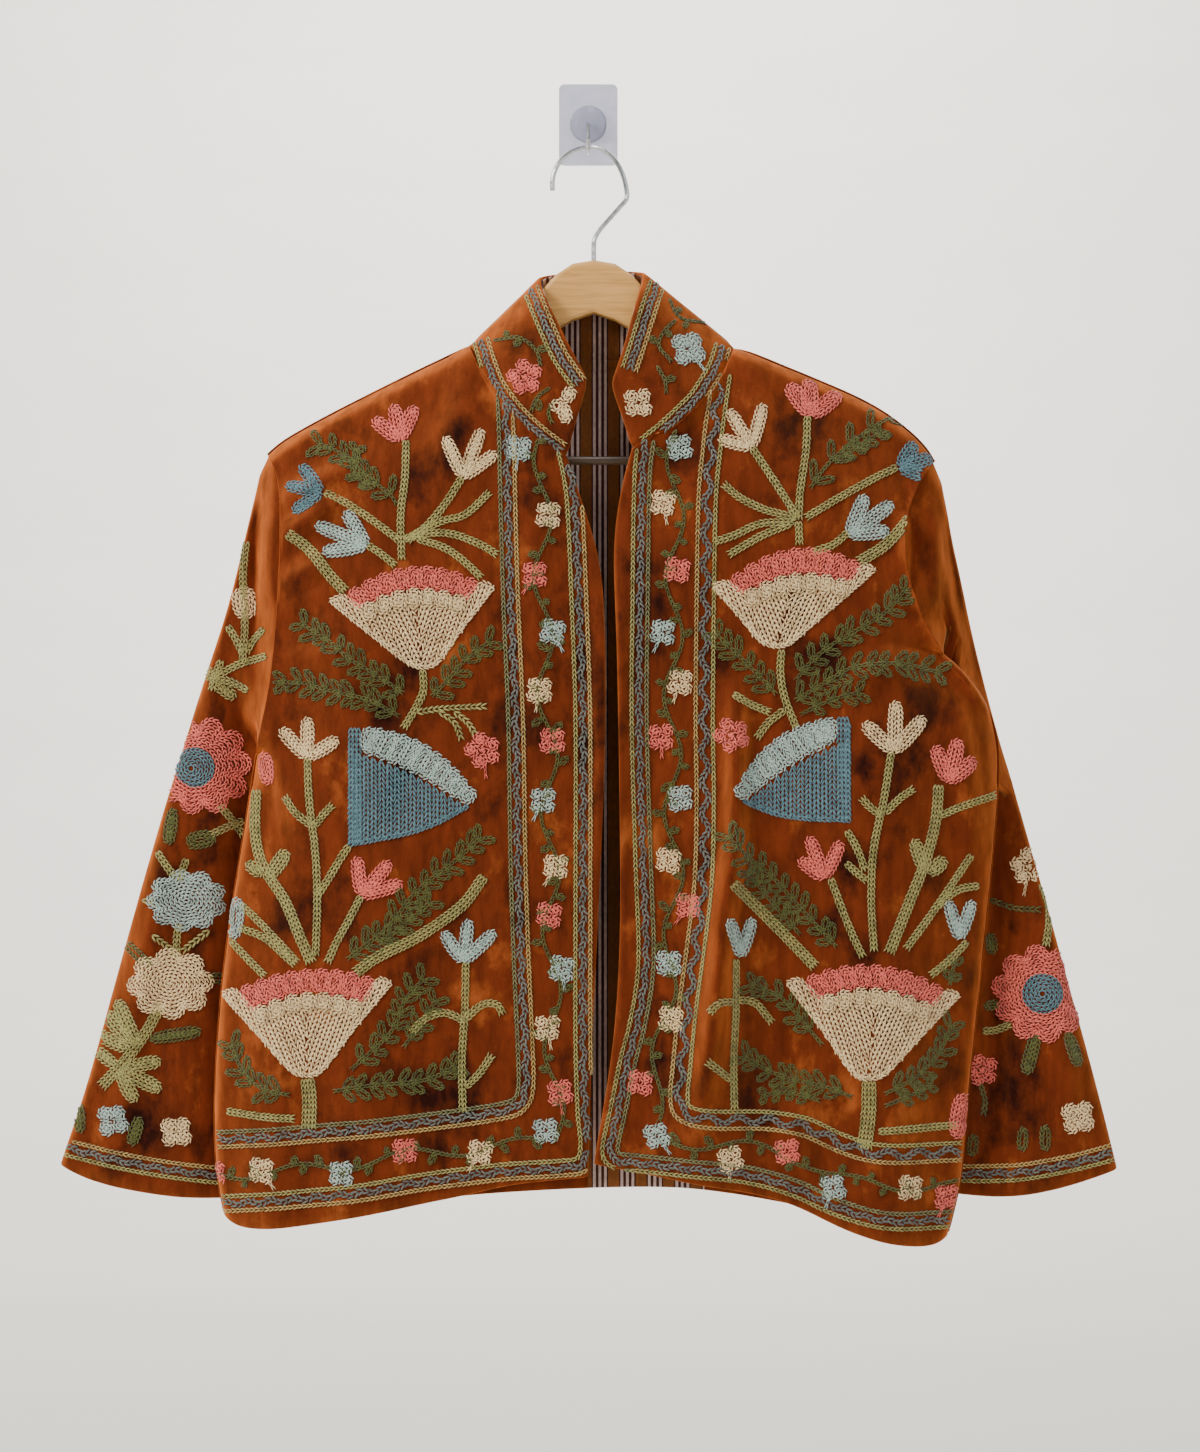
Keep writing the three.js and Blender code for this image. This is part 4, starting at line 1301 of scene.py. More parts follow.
# The wearer's right sleeve, on the chart's left.
RIGHT_SLEEVE: list[Motif] = [
    Border([(50, 1150), (80, 1157), (140, 1170), (232, 1184)], 7.4, 2.0, 22.0),
    Petal((243, 618), (240, 586), 24, CREAM),
    Stem([(243, 540), (240, 575), (242, 620), (240, 662)]),
    Stem([(225, 625), (234, 640), (240, 652)]),
    Stem([(262, 628), (250, 640), (243, 652)]),
    Stem([(265, 655), (235, 664), (212, 676)]),
    Stem([(218, 660), (212, 675), (208, 690)]),
    Stem([(245, 690), (225, 680), (212, 680)]),
    Petal((212, 680), (192, 660), 14, OLIVE),
    Petal((212, 682), (232, 698), 13, OLIVE),
    Rosette((198, 766), CORAL, 46, 10, DENIM, 0.46, drift=(-13, 3)),
    Petal((169, 808), (164, 846), 13, MOSS),
    Stem([(215, 806), (226, 820), (238, 838)]),
    Stem([(238, 822), (222, 828), (206, 836)]),
    Petal((212, 838), (182, 843), 18, MOSS),
    Stem([(153, 853), (162, 866), (170, 878)]),
    Stem([(182, 860), (178, 872), (174, 882)]),
    Stem([(126, 901), (137, 902), (150, 903)], 1, width=1.3),
    Rosette((182, 902), SKY, 37, 9, squash=0.78),
    Stem([(174, 926), (172, 942), (172, 960)]),
    Stem([(204, 933), (190, 944), (177, 954)], 1, width=1.3),
    Stem([(149, 937), (160, 946), (170, 954)], 1, width=1.3),
    Petal((117, 943), (147, 968), 11, MOSS),
    Petal((202, 980), (224, 983), 11, MOSS),
    Rosette((166, 986), CREAM, 40, 8, squash=0.82),
    Stem([(157, 1006), (142, 1034), (122, 1062), (96, 1090)], 3),
    Petal((133, 1048), (112, 1002), 16, OLIVE),
    Petal((130, 1048), (98, 1014), 15, OLIVE),
    Petal((126, 1052), (90, 1037), 14, OLIVE),
    Petal((144, 1042), (197, 1034), 13, MOSS),
    Petal((114, 1070), (88, 1052), 13, OLIVE),
    Petal((120, 1070), (157, 1064), 14, OLIVE),
    Petal((116, 1072), (157, 1094), 15, OLIVE),
    Petal((114, 1074), (131, 1106), 14, OLIVE),
    Bloom((108, 1124), SKY, 18, 4),
    Bloom((172, 1136), CREAM, 18, 4),
    Petal((73, 1106), (74, 1138), 12, MOSS),
    Petal((135, 1120), (126, 1150), 13, MOSS),
]

# The wearer's left sleeve, on the chart's right.
LEFT_SLEEVE: list[Motif] = [
    Border([(965, 1179), (1010, 1178), (1060, 1171), (1128, 1155)], 7.4, 2.0, 22.0),
    Bloom((1034, 868), CREAM, 20, 5),
    Stem([(1046, 886), (1052, 905), (1053, 925), (1050, 948)]),
    Stem([(996, 902), (1020, 910), (1045, 911)], 1, MOSS, width=1.2),
    Petal((996, 935), (998, 958), 12, MOSS),
    Rosette((1047, 996), CORAL, 46, 10, DENIM, 0.45),
    Petal((988, 1010), (1006, 1008), 10, MOSS),
    Stem([(988, 1035), (1002, 1034), (1016, 1027)]),
    Petal((1041, 1036), (1030, 1078), 14, MOSS),
    Petal((1071, 1034), (1084, 1070), 13, MOSS),
    Bloom((987, 1074), CORAL, 17, 5),
    Stem([(985, 1088), (990, 1105), (988, 1120)], 1, MOSS, width=1.2),
    Bloom((1083, 1121), CREAM, 19, 4),
    Petal((1028, 1130), (1026, 1156), 11, MOSS),
    Petal((1050, 1128), (1050, 1156), 11, MOSS),
    Petal((979, 1138), (976, 1162), 11, MOSS),
]

# The two halves of the collar that show from the front.
COLLAR: list[Motif] = [
    Vine([(493, 338), (517, 335), (536, 352), (541, 366)], 1.5, 60.0),
    Vine([(550, 388), (538, 398), (531, 412)], 1.0, 60.0),
    Vine([(556, 400), (549, 412), (553, 424)], 1.0, 60.0),
    Vine([(670, 295), (682, 315), (706, 320)], 1.5, 60.0),
    Vine([(676, 318), (658, 344), (671, 362)], 1.5, 60.0),
    Vine([(657, 366), (666, 380), (666, 394)], 1.0, 60.0),
    Border([(530, 284), (539, 308), (548, 330), (561, 358), (579, 384)], 7.0, 1.0, 20.0),
    Border(
        [(480, 336), (487, 360), (496, 383), (509, 403), (524, 420), (543, 437), (562, 451)],
        7.2,
        1.0,
        20.0,
    ),
    Bloom((525, 377), CORAL, 19, 5),
    Blossom((563, 403), [(574, 388), (551, 409), (567, 424)], CREAM, 16),
    Border([(658, 278), (651, 300), (645, 320), (637, 346), (629, 370)], 7.0, 1.0, 20.0),
    Border(
        [(724, 342), (716, 366), (706, 384), (695, 400), (681, 414), (664, 430), (645, 445)],
        7.2,
        1.0,
        20.0,
    ),
    Bloom((688, 348), SKY, 19, 4),
    Bloom((638, 403), CREAM, 16, 4),
]


# ---------------------------------------------------------------------------------------------
# Cloth
# ---------------------------------------------------------------------------------------------


TURNED_IN = 0.012
FACING_TOP = -0.68
HEM_GAP = (0.001, 0.083)
NARROW_SEAM = 0.006
WIDE_SEAM = 0.014
WIDE_SEAM_FOOT = -0.475
SEAM_PULL = 1.6
SEAM_BITE = 0.0007
WIDE_RIPPLE = (38.0, 3.0, 22.0)
NARROW_RIPPLE = (110.0, 9.0, 70.0)
NARROW_SHARE = 0.35
INNER_SLOPE = 0.8
RIM_SLOPE = 0.5
RAY_LIFT = 0.0006
RAY_REACH = 0.08


@dataclass(frozen=True)
class Crease:
    """A soft ridge or hollow in the cloth along a line on the chart."""

    start: Point
    end: Point
    width: float
    rise: float

    def height(self, places: np.ndarray) -> np.ndarray:
        """Gives how far the cloth moves towards the room.

        Args:
            places: An array of (x, z) in metres.

        Returns:
            The height of each place in metres.
        """
        start, end = CHART.to_metres([self.start, self.end])
        reach = end - start
        length = float(np.linalg.norm(reach))
        share = (places - start) @ (reach / length) / length
        nearest = start + np.outer(np.clip(share, 0.0, 1.0), reach)
        gap = np.linalg.norm(places - nearest, axis=1)
        fade = np.sin(math.pi * np.clip(share * 0.9 + 0.05, 0.0, 1.0)) ** 0.5
        return self.rise * np.exp(-((gap / self.width) ** 2)) * fade


@dataclass(frozen=True)
class Nudge:
    """A small push of the cloth, which fades with the distance from its centre."""

    centre: Point
    shift: Point
    reach: float
    forward: float = 0.0

    def apply(self, places: np.ndarray) -> None:
        """Moves places.

        Args:
            places: An array of (x, y, z) in metres, changed in place.
        """
        middle = CHART.to_metres([self.centre])[0]
        gap = np.linalg.norm(places[:, [0, 2]] - middle, axis=1)
        share = np.exp(-((gap / CHART.length(self.reach)) ** 2))
        places[:, 0] += CHART.length(self.shift[0]) * share
        places[:, 1] -= self.forward * share
        places[:, 2] -= CHART.length(self.shift[1]) * share


def tree_of(mesh: bpy.types.Mesh) -> BVHTree:
    """Makes a search tree of a mesh's faces."""
    places = [v.co.copy() for v in mesh.vertices]
    return BVHTree.FromPolygons(places, [tuple(p.vertices) for p in mesh.polygons])


def ripples(places: np.ndarray, scale: Place) -> np.ndarray:
    """Gives a smooth random height at each place, from a noise with cells of that scale."""
    across, layer, up = scale
    return np.array([noise.noise(Vector((x * across, layer, z * up))) for x, z in places])


def in_gap(face: bpy.types.MeshPolygon) -> bool:
    """Tells whether a face lies at the hem, where the lining shows between the fronts."""
    return HEM_GAP[0] < face.center.x < HEM_GAP[1] and face.center.z < FACING_TOP


def place_in_scene(name: str, data: bpy.types.ID) -> bpy.types.Object:
    """Makes an object and puts it in the scene.

    Args:
        name: The object's name.
        data: A mesh, a light or a camera.

    Returns:
        The new object.
    """
    made = bpy.data.objects.new(name, data)
    bpy.context.scene.collection.objects.link(made)
    return made


@dataclass
class Panel:
    """One piece of cloth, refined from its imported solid."""

    node: str
    cut: tuple[float, float]
    cut_area: float
    creases: list[Crease] = field(default_factory=list)
    motifs: list[Motif] = field(default_factory=list)
    nudges: tuple[Nudge, ...] = ()
    sewn_to: tuple[str, ...] = ()
    seam_reach: float = NARROW_SEAM
    is_tube: bool = False
    faces_back: bool = False
    all_lining: bool = False
    faces_hem: bool = False
    ripple: float = 0.0008
    sharp_edge: float = math.radians(50)
    sharpness: float = 0.8
    levels: int = 2

    def build(self, finishes: Materials, sewn: dict[str, bpy.types.Object]) -> bpy.types.Object:
        """Builds the refined cloth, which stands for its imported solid.

        Args:
            finishes: The shared materials.
            sewn: The cloth pieces built so far, by node.

        Returns:
            The cloth object.
        """
        fine = self._refine()
        self._ruffle(fine)
        seam: set[int] = set()
        for node in self.sewn_to:
            seam |= self._sew(fine, sewn[node])
        self._dress(fine, finishes, seam)
        cloth = place_in_scene("cloth_" + self.node, fine)
        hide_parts(self.node)
        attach(cloth, BODY)
        return cloth

    def _refine(self) -> bpy.types.Mesh:
        """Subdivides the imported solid, with its sharp edges kept nearly sharp.

        Returns:
            The fine mesh.
        """
        bm = bmesh.new()
        bm.from_mesh(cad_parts[self.node].data)
        bmesh.ops.remove_doubles(bm, verts=bm.verts, dist=1e-6)
        bmesh.ops.join_triangles(
            bm,
            faces=bm.faces,
            angle_face_threshold=math.radians(35),
            angle_shape_threshold=math.radians(70),
        )
        crease_layer = bm.edges.layers.float.new("crease_edge")
        for edge in bm.edges:
            if len(edge.link_faces) == 2 and edge.calc_face_angle(0.0) > self.sharp_edge:
                edge[crease_layer] = self.sharpness
        mesh = bpy.data.meshes.new("rough_" + self.node)
        bm.to_mesh(mesh)
        bm.free()
        rough = place_in_scene("rough_" + self.node, mesh)
        smooth = rough.modifiers.new("smooth", "SUBSURF")
        smooth.levels = smooth.render_levels = self.levels
        evaluated = rough.evaluated_get(bpy.context.evaluated_depsgraph_get())
        fine = bpy.data.meshes.new_from_object(evaluated)
        fine.name = "cloth_" + self.node
        bpy.data.objects.remove(rough)
        bpy.data.meshes.remove(mesh)
        return fine

    def _ruffle(self, mesh: bpy.types.Mesh) -> None:
        """Moves the cloth along Y by its creases and by a soft ripple.

        Args:
            mesh: The mesh of this cloth.
        """
        places = np.empty(len(mesh.vertices) * 3, np.float32)
        mesh.vertices.foreach_get("co", places)
        places = places.reshape(-1, 3).astype(float)
        flat = places[:, [0, 2]]
        height = np.zeros(len(places))
        for crease in self.creases:
            height += crease.height(flat)
        wide, narrow = ripples(flat, WIDE_RIPPLE), ripples(flat, NARROW_RIPPLE)
        height += wide * self.ripple + narrow * self.ripple * NARROW_SHARE
        places[:, 1] -= height
        for nudge in self.nudges:
            nudge.apply(places)
        mesh.vertices.foreach_set("co", places.astype(np.float32).ravel())
        mesh.update()

    def _sew(self, mesh: bpy.types.Mesh, other: bpy.types.Object) -> set[int]:
        """Draws the verts near another cloth into it, so that the seam closes.

        Args:
            mesh: The mesh of this cloth.
            other: The cloth that it is sewn to.

        Returns:
            The verts that lie in the seam.
        """
        seam = set()
        tree = tree_of(other.data)
        for vert in mesh.vertices:
            in_wide_part = self.seam_reach != WIDE_SEAM or vert.co.z > WIDE_SEAM_FOOT
            reach = self.seam_reach if in_wide_part else NARROW_SEAM
            near, _, _, gap = tree.find_nearest(vert.co, reach)
            if near is not None and gap > 0.0:
                pull = min(1.0, SEAM_PULL * (1.0 - gap / reach))
                bite = SEAM_BITE * pull
                vert.co += (near - vert.co) * ((gap + bite) / gap * pull)
                seam.add(vert.index)
        mesh.update()
        return seam

    def _dress(self, mesh: bpy.types.Mesh, finishes: Materials, seam: set[int]) -> None:
        """Gives outer faces and seams the velvet, and inner faces the lining.

        Args:
            mesh: The mesh of this cloth.
            finishes: The shared materials.
            seam: The verts that lie in a seam.
        """
        mesh.materials.clear()
        for name in ("lining", "velvet") if self.all_lining else ("velvet", "lining"):
            mesh.materials.append(finishes[name])
        mesh.polygons.foreach_set("use_smooth", [True] * len(mesh.polygons))
        if self.all_lining:
            second = self._faced_faces(mesh)
        elif self.is_tube:
            second = self._covered_faces(mesh, seam)
        else:
            second = self._inner_faces(mesh, seam)
        for face, is_second in zip(mesh.polygons, second):
            face.material_index = int(is_second)

    def _faced_faces(self, mesh: bpy.types.Mesh) -> list[bool]:
        """Finds the lining's faces at the hem that are faced with velvet.

        Args:
            mesh: The mesh of this lining.

        Returns:
            A yes or no for each face.
        """
        return [
            self.faces_hem and face.center.z < FACING_TOP and not in_gap(face) for face in mesh.polygons
        ]

    def _covered_faces(self, mesh: bpy.types.Mesh, seam: set[int]) -> list[bool]:
        """Finds the faces inside a tube, which look at another part of it.

        Args:
            mesh: The mesh of this tube.
            seam: The verts that lie in a seam.

        Returns:
            A yes or no for each face.
        """
        tree = tree_of(mesh)
        made = []
        for face in mesh.polygons:
            start = face.center + face.normal * RAY_LIFT
            hit, _, _, _ = tree.ray_cast(start, face.normal, RAY_REACH)
            made.append(hit is not None and not seam.issuperset(face.vertices))
        return made

    def _inner_faces(self, mesh: bpy.types.Mesh, seam: set[int]) -> list[bool]:
        """Finds the faces of a flat panel's inner side, away from its seams and edges.

        Args:
            mesh: The mesh of this panel.
            seam: The verts that lie in a seam.

        Returns:
            A yes or no for each face.
        """
        inward = -1.0 if self.faces_back else 1.0
        rim = [v for v in mesh.vertices if abs(v.normal.y) < RIM_SLOPE]
        tree = KDTree(len(rim))
        for k, vert in enumerate(rim):
            tree.insert(vert.co, k)
        tree.balance()
        made = []
        for face in mesh.polygons:
            is_velvet = seam.issuperset(face.vertices)
            if not (self.faces_back and in_gap(face)):
                is_velvet = is_velvet or tree.find(face.center)[2] < TURNED_IN
            made.append(face.normal.y * inward > INNER_SLOPE and not is_velvet)
        return made


# ---------------------------------------------------------------------------------------------
# Embroidery
# ---------------------------------------------------------------------------------------------


# A link's tone mixes its random shade with painted shade, which is darker towards the foot of the link.
LINK_SHARE = 0.65
PAINTED_SHADE_LIFT_SHARE = 0.95
PAINTED_FOOT_SHADE = 0.36


@dataclass(frozen=True)
class Stitch:
    """The size of a chain link, in metres."""

    pitch: float = 0.0034
    width: float = 0.0034
    rise: float = 0.0011


class Link:
    """The shape of one chain link: two strands that part and meet again."""

    strand_size = (0.73, 0.22, 0.72)
    spread = 0.28
    splay = 19.0

    def __init__(self) -> None:
        """Builds the link's two strands from stretched low spheres."""
        bm = bmesh.new()
        for side in (-1.0, 1.0):
            verts = bmesh.ops.create_uvsphere(bm, u_segments=4, v_segments=3, radius=1.0)["verts"]
            self._turn(bm, verts, 90.0, "Y")
            self._turn(bm, verts, 45.0, "X")
            bmesh.ops.scale(bm, verts=verts, vec=self.strand_size)
            self._turn(bm, verts, side * self.splay, "Z")
            bmesh.ops.translate(bm, verts=verts, vec=(0.5, side * self.spread, 0.30))
        bmesh.ops.triangulate(bm, faces=bm.faces)
        bmesh.ops.recalc_face_normals(bm, faces=bm.faces)
        bm.verts.ensure_lookup_table()
        self.verts = np.array([v.co[:] for v in bm.verts], float)
        self.faces = np.array([[v.index for v in f.verts] for f in bm.faces], int)
        bm.free()

    @staticmethod
    def _turn(bm: bmesh.types.BMesh, verts: list[bmesh.types.BMVert], angle: float, axis: str) -> None:
        """Turns verts about the origin by an angle in degrees."""
        matrix = Matrix.Rotation(math.radians(angle), 3, axis)
        bmesh.ops.rotate(bm, verts=verts, cent=(0, 0, 0), matrix=matrix)


@dataclass
class Links:
    """The places of many links of one yarn."""

    origins: list[Vector] = field(default_factory=list)
    along: list[Vector] = field(default_factory=list)
    normals: list[Vector] = field(default_factory=list)
    widths: list[float] = field(default_factory=list)
    shades: list[float] = field(default_factory=list)

    def verts(self, shape: np.ndarray, stitch: Stitch) -> np.ndarray:
        """Places the verts of all links.

        Args:
            shape: The verts of one link.
            stitch: The size of a link.

        Returns:
            The placed verts.
        """
        origins, along, normals = (np.array(v) for v in (self.origins, self.along, self.normals))
        heading = along / np.linalg.norm(along, axis=1, keepdims=True)
        normals -= heading * np.sum(normals * heading, axis=1, keepdims=True)
        normals /= np.linalg.norm(normals, axis=1, keepdims=True)
        widths = np.array(self.widths)[:, None] * stitch.width
        across = np.cross(normals, heading) * widths
        placed = origins[:, None] + shape[:, 0, None] * along[:, None]
        placed = placed + shape[:, 1, None] * across[:, None]
        return (placed + shape[:, 2, None] * normals[:, None] * stitch.rise).reshape(-1, 3)

    def tones(self, shape: np.ndarray) -> np.ndarray:
        """Gives each vert's tone: the link's random shade, with painted shade that darkens the foot of the
        link.

        Args:
            shape: The verts of one link.

        Returns:
            The shades from 0 to 1.
        """
        low, high = shape[:, 2].min(), shape[:, 2].max()
        lift = (shape[:, 2] - low) / (high - low)
        # Painted shade: the lower a vert lies in its link, the darker its tone.
        mixed = np.array(self.shades)[:, None] * LINK_SHARE + lift * PAINTED_SHADE_LIFT_SHARE - PAINTED_FOOT_SHADE
        return np.clip(mixed, 0, 1)


class Embroidery:
    """Lays rows of chain links on a cloth."""

    ray_start = -0.25
    steepest = -0.22
    largest_step = 2.2
    smallest_step = 1e-5
    middle_shade = 0.55
    row_spread = 0.12
    link_spread = 0.26
    width_range = (0.9, 1.12)

    def __init__(self, cloth: bpy.types.Object, name: str) -> None:
        """Reads the cloth that the stitches lie on.

        Args:
            cloth: The cloth.
            name: The first part of the new pieces' names.
        """
        self.name = name
        self.tree = tree_of(cloth.data)
        self.rng = random.Random(SEED + len(name))
        self.stitch = Stitch()
        self.links: dict[Yarn, Links] = {}

    def stitch_all(self, motifs: list[Motif]) -> None:
        """Stitches motifs one after another.

        Args:
            motifs: The motifs.
        """
        for motif in motifs:
            for row in motif.rows(self.rng):
                self._stitch_row(row)

    def _stitch_row(self, row: Row) -> None:
        """Lays one row of links on the cloth.

        Args:
            row: The row.
        """
        line = CHART.to_metres(row.points)
        if row.closed:
            line = np.vstack([line, line[:1]])
        run = distances(line)
        pitch = self.stitch.pitch * max(1.0, row.width) ** 0.5
        places = np.linspace(0.0, run[-1], max(1, round(run[-1] / pitch)) + 1)
        xs, zs = (np.interp(places, run, line[:, k]) for k in (0, 1))
        back = Vector((0.0, 1.0, 0.0))
        hits = [self.tree.ray_cast(Vector((x, self.ray_start, z)), back) for x, z in zip(xs, zs)]
        links = self.links.setdefault(row.yarn, Links())
        row_shade = self.rng.uniform(-self.row_spread, self.row_spread)
        for here, there in itertools.pairwise(hits):
            if here[0] is None or there[0] is None or here[1].y > self.steepest:
                continue
            along = there[0] - here[0]
            if along.length > self.largest_step * pitch or along.length < self.smallest_step:
                continue
            links.origins.append(here[0] + here[1] * row.lift)
            links.along.append(along)
            links.normals.append(here[1])
            links.widths.append(row.width * self.rng.uniform(*self.width_range))
            shade = self.middle_shade + row_shade + self.rng.gauss(0.0, self.link_spread)
            links.shades.append(min(1.0, max(0.0, shade)))

    def build(self, link: Link, finishes: dict[Yarn, bpy.types.Material]) -> None:
        """Builds one piece for each yarn.

        Args:
            link: The shape of one link.
            finishes: The yarns' materials.
        """
        for yarn, links in self.links.items():
            if not links.origins:
                continue
            firsts = np.arange(len(links.origins)) * len(link.verts)
            faces = (link.faces + firsts[:, None, None]).reshape(-1, 3)
            verts = links.verts(link.verts, self.stitch)
            mesh = bpy.data.meshes.new(f"{self.name}_{yarn.name.lower()}")
            mesh.vertices.add(len(verts))
            mesh.vertices.foreach_set("co", verts.astype(np.float32).ravel())
            mesh.loops.add(faces.size)
            mesh.loops.foreach_set("vertex_index", faces.ravel().astype(np.int32))
            mesh.polygons.add(len(faces))
            mesh.polygons.foreach_set("loop_start", np.arange(0, faces.size, 3, dtype=np.int32))
            mesh.polygons.foreach_set("use_smooth", [True] * len(faces))
            # Each vert's random shade, with painted shade at the foot of its link.
            shade = mesh.attributes.new(STITCH_TONE_AND_PAINTED_SHADE, "FLOAT", "POINT")
            shade.data.foreach_set("value", links.tones(link.verts).astype(np.float32).ravel())
            mesh.update(calc_edges=True)
            mesh.materials.append(finishes[yarn])
            piece = place_in_scene(mesh.name, mesh)
            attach(piece, BODY)
            LOG.info("%s: %d links, %d triangles", piece.name, len(links.origins), len(faces))


# ---------------------------------------------------------------------------------------------
# Hanger, hook and studio
# ---------------------------------------------------------------------------------------------


class Hanger:
    """The wooden hanger and the wall hook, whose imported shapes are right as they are."""

    finish_names = {
        "hanger_body": "hanger wood",
        "hanger_bar": "bar wood",
        "hanger_hook": "wire",
        "wall_wire": "wire",
        "wall_plate": "plastic",
        "wall_boss": "plastic",
    }

    def dress(self, finishes: Materials) -> None:
        """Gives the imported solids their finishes.

        Args:
            finishes: The shared materials.
        """
        for node, finish in self.finish_names.items():
            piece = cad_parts[node]
            piece.data.materials.clear()
            piece.data.materials.append(finishes[finish])
            LOG.info("%s: dressed with %s", node, finish)


@dataclass(frozen=True)
class Lamp:
    """A soft square light."""

    name: str
    place: Place
    size: float
    power: float
    colour: Colour
    target: Place

    def build(self) -> None:
        """Puts the light in the scene, aimed at its target."""
        data = bpy.data.lights.new(self.name, "AREA")
        data.shape = "SQUARE"
        data.size = self.size
        data.energy = self.power
        data.color = self.colour
        lamp = place_in_scene(self.name, data)
        lamp.location = self.place
        aim = Vector(self.target) - Vector(self.place)
        lamp.rotation_euler = aim.to_track_quat("-Z", "Y").to_euler()


JACKET_MIDDLE = (0.0, -0.05, -0.431)
WALL_MIDDLE = (0.0, 4.2, 1.3)

LAMPS = (
    Lamp("key", (-2.4, -1.35, 1.1), 1.0, 102.0, (1.0, 0.955, 0.89), JACKET_MIDDLE),
    Lamp("fill", (1.9, -2.2, 0.2), 2.4, 14.0, (0.97, 0.98, 1.0), JACKET_MIDDLE),
    Lamp("top", (0.3, -0.5, 1.7), 1.0, 22.0, (1.0, 1.0, 1.0), JACKET_MIDDLE),
    Lamp("wall wash", (0.0, 1.9, 2.7), 2.4, 330.0, (1.0, 0.99, 0.965), WALL_MIDDLE),
)


@dataclass(frozen=True)
class Studio:
    """The camera, the lights, the floor and the backdrop."""

    camera_across: float = 0.0084
    camera_distance: float = 1.976
    lens: float = 70.0
    sensor_width: float = 36.0
    air_colour: tuple[float, float, float, float] = (0.93, 0.94, 0.95, 1.0)
    air_strength: float = 0.36
    floor_height: float = -1.15
    floor_start: float = -6.0
    backdrop_rise: float = 6.0
    backdrop_depth: float = 4.2
    sweep_bend: float = 2.4
    sweep_width: float = 7.0
    bend_steps: int = 24

    def build(self) -> None:
        """Builds the stage, the lights and the camera."""
        self._sweep()
        for lamp in LAMPS:
            lamp.build()
        world = bpy.data.worlds.new("studio air")
        world.use_nodes = True
        air = world.node_tree.nodes["Background"].inputs
        air["Color"].default_value = self.air_colour
        air["Strength"].default_value = self.air_strength
        bpy.context.scene.world = world
        camera = bpy.data.cameras.new("camera")
        camera.lens = self.lens
        camera.sensor_width = self.sensor_width
        holder = place_in_scene("camera", camera)
        _, depth, height = JACKET_MIDDLE
        holder.location = (self.camera_across, depth - self.camera_distance, height)
        holder.rotation_euler = (math.pi / 2, 0.0, 0.0)
        bpy.context.scene.camera = holder

    def _sweep(self) -> None:
        """Builds the floor and the wall behind as one sheet with a wide round bend."""
        bm = bmesh.new()
        floor_end = self.backdrop_depth - self.sweep_bend
        start = bm.verts.new((-self.sweep_width, self.floor_start, self.floor_height))
        last = bm.verts.new((-self.sweep_width, floor_end, self.floor_height))
        bm.edges.new((start, last))
        bmesh.ops.spin(
            bm,
            geom=[last],
            cent=(0.0, floor_end, self.floor_height + self.sweep_bend),
            axis=(1.0, 0.0, 0.0),
            angle=math.pi / 2,
            steps=self.bend_steps,
            use_merge=False,
        )
        bm.verts.ensure_lookup_table()
        highest = max(bm.verts, key=lambda v: (v.co.z, v.co.y))
        up = bmesh.ops.extrude_vert_indiv(bm, verts=[highest])
        bmesh.ops.translate(bm, verts=up["verts"], vec=(0.0, 0.0, self.backdrop_rise))
        side = bmesh.ops.extrude_edge_only(bm, edges=bm.edges[:])
        moved = [g for g in side["geom"] if isinstance(g, bmesh.types.BMVert)]
        bmesh.ops.translate(bm, verts=moved, vec=(2 * self.sweep_width, 0.0, 0.0))
        bmesh.ops.recalc_face_normals(bm, faces=bm.faces)
        sheet = bpy.data.meshes.new("backdrop")
        bm.to_mesh(sheet)
        bm.free()
        sheet.polygons.foreach_set("use_smooth", [True] * len(sheet.polygons))
        sheet.materials.append(PlasterFinish().build())
        place_in_scene("backdrop", sheet)


# ---------------------------------------------------------------------------------------------
# The jacket
# ---------------------------------------------------------------------------------------------


RIGHT_FRONT_CREASES = [
    Crease((284, 498), (345, 470), 0.0065, 0.0060),
    Crease((282, 535), (335, 500), 0.0070, 0.0067),
    Crease((280, 585), (325, 562), 0.0070, 0.0060),
    Crease((278, 610), (330, 588), 0.0050, 0.0037),
    Crease((272, 660), (360, 652), 0.0060, 0.0030),
    Crease((265, 720), (300, 830), 0.0090, 0.0045),
    Crease((470, 350), (440, 520), 0.0140, 0.0037),
    Crease((530, 480), (545, 760), 0.0120, 0.0030),
    Crease((600, 560), (604, 900), 0.0060, 0.0033),
]

LEFT_FRONT_CREASES = [
    Crease((736, 690), (734, 880), 0.0075, 0.0083),
    Crease((730, 850), (704, 1096), 0.0085, 0.0097),
    Crease((905, 520), (925, 610), 0.0075, 0.0067),
    Crease((922, 590), (962, 672), 0.0070, 0.0075),
    Crease((955, 655), (998, 716), 0.0060, 0.0067),
    Crease((930, 470), (905, 560), 0.0060, 0.0053),
    Crease((960, 700), (975, 860), 0.0100, 0.0053),
    Crease((622, 560), (618, 900), 0.0060, 0.0037),
    Crease((840, 690), (915, 650), 0.0090, 0.0033),
    Crease((790, 1100), (800, 1170), 0.0110, 0.0053),
]

RIGHT_SLEEVE_CREASES = [
    Crease((262, 600), (256, 770), 0.0070, -0.0060),
    Crease((256, 470), (250, 660), 0.0055, -0.0075),
    Crease((266, 470), (262, 600), 0.0040, 0.0060),
    Crease((240, 500), (196, 760), 0.0080, 0.0045),
    Crease((235, 690), (222, 1180), 0.0090, -0.0060),
    Crease((170, 800), (110, 1160), 0.0120, 0.0045),
]

LEFT_SLEEVE_CREASES = [
    Crease((914, 515), (916, 605), 0.0040, -0.0060),
    Crease((939, 512), (937, 610), 0.0045, 0.0060),
    Crease((951, 525), (962, 615), 0.0040, -0.0067),
    Crease((952, 560), (975, 700), 0.0060, 0.0060),
    Crease((962, 600), (1010, 760), 0.0060, -0.0067),
    Crease((1000, 800), (1000, 1180), 0.0100, -0.0067),
    Crease((1040, 820), (1080, 1160), 0.0120, 0.0045),
]

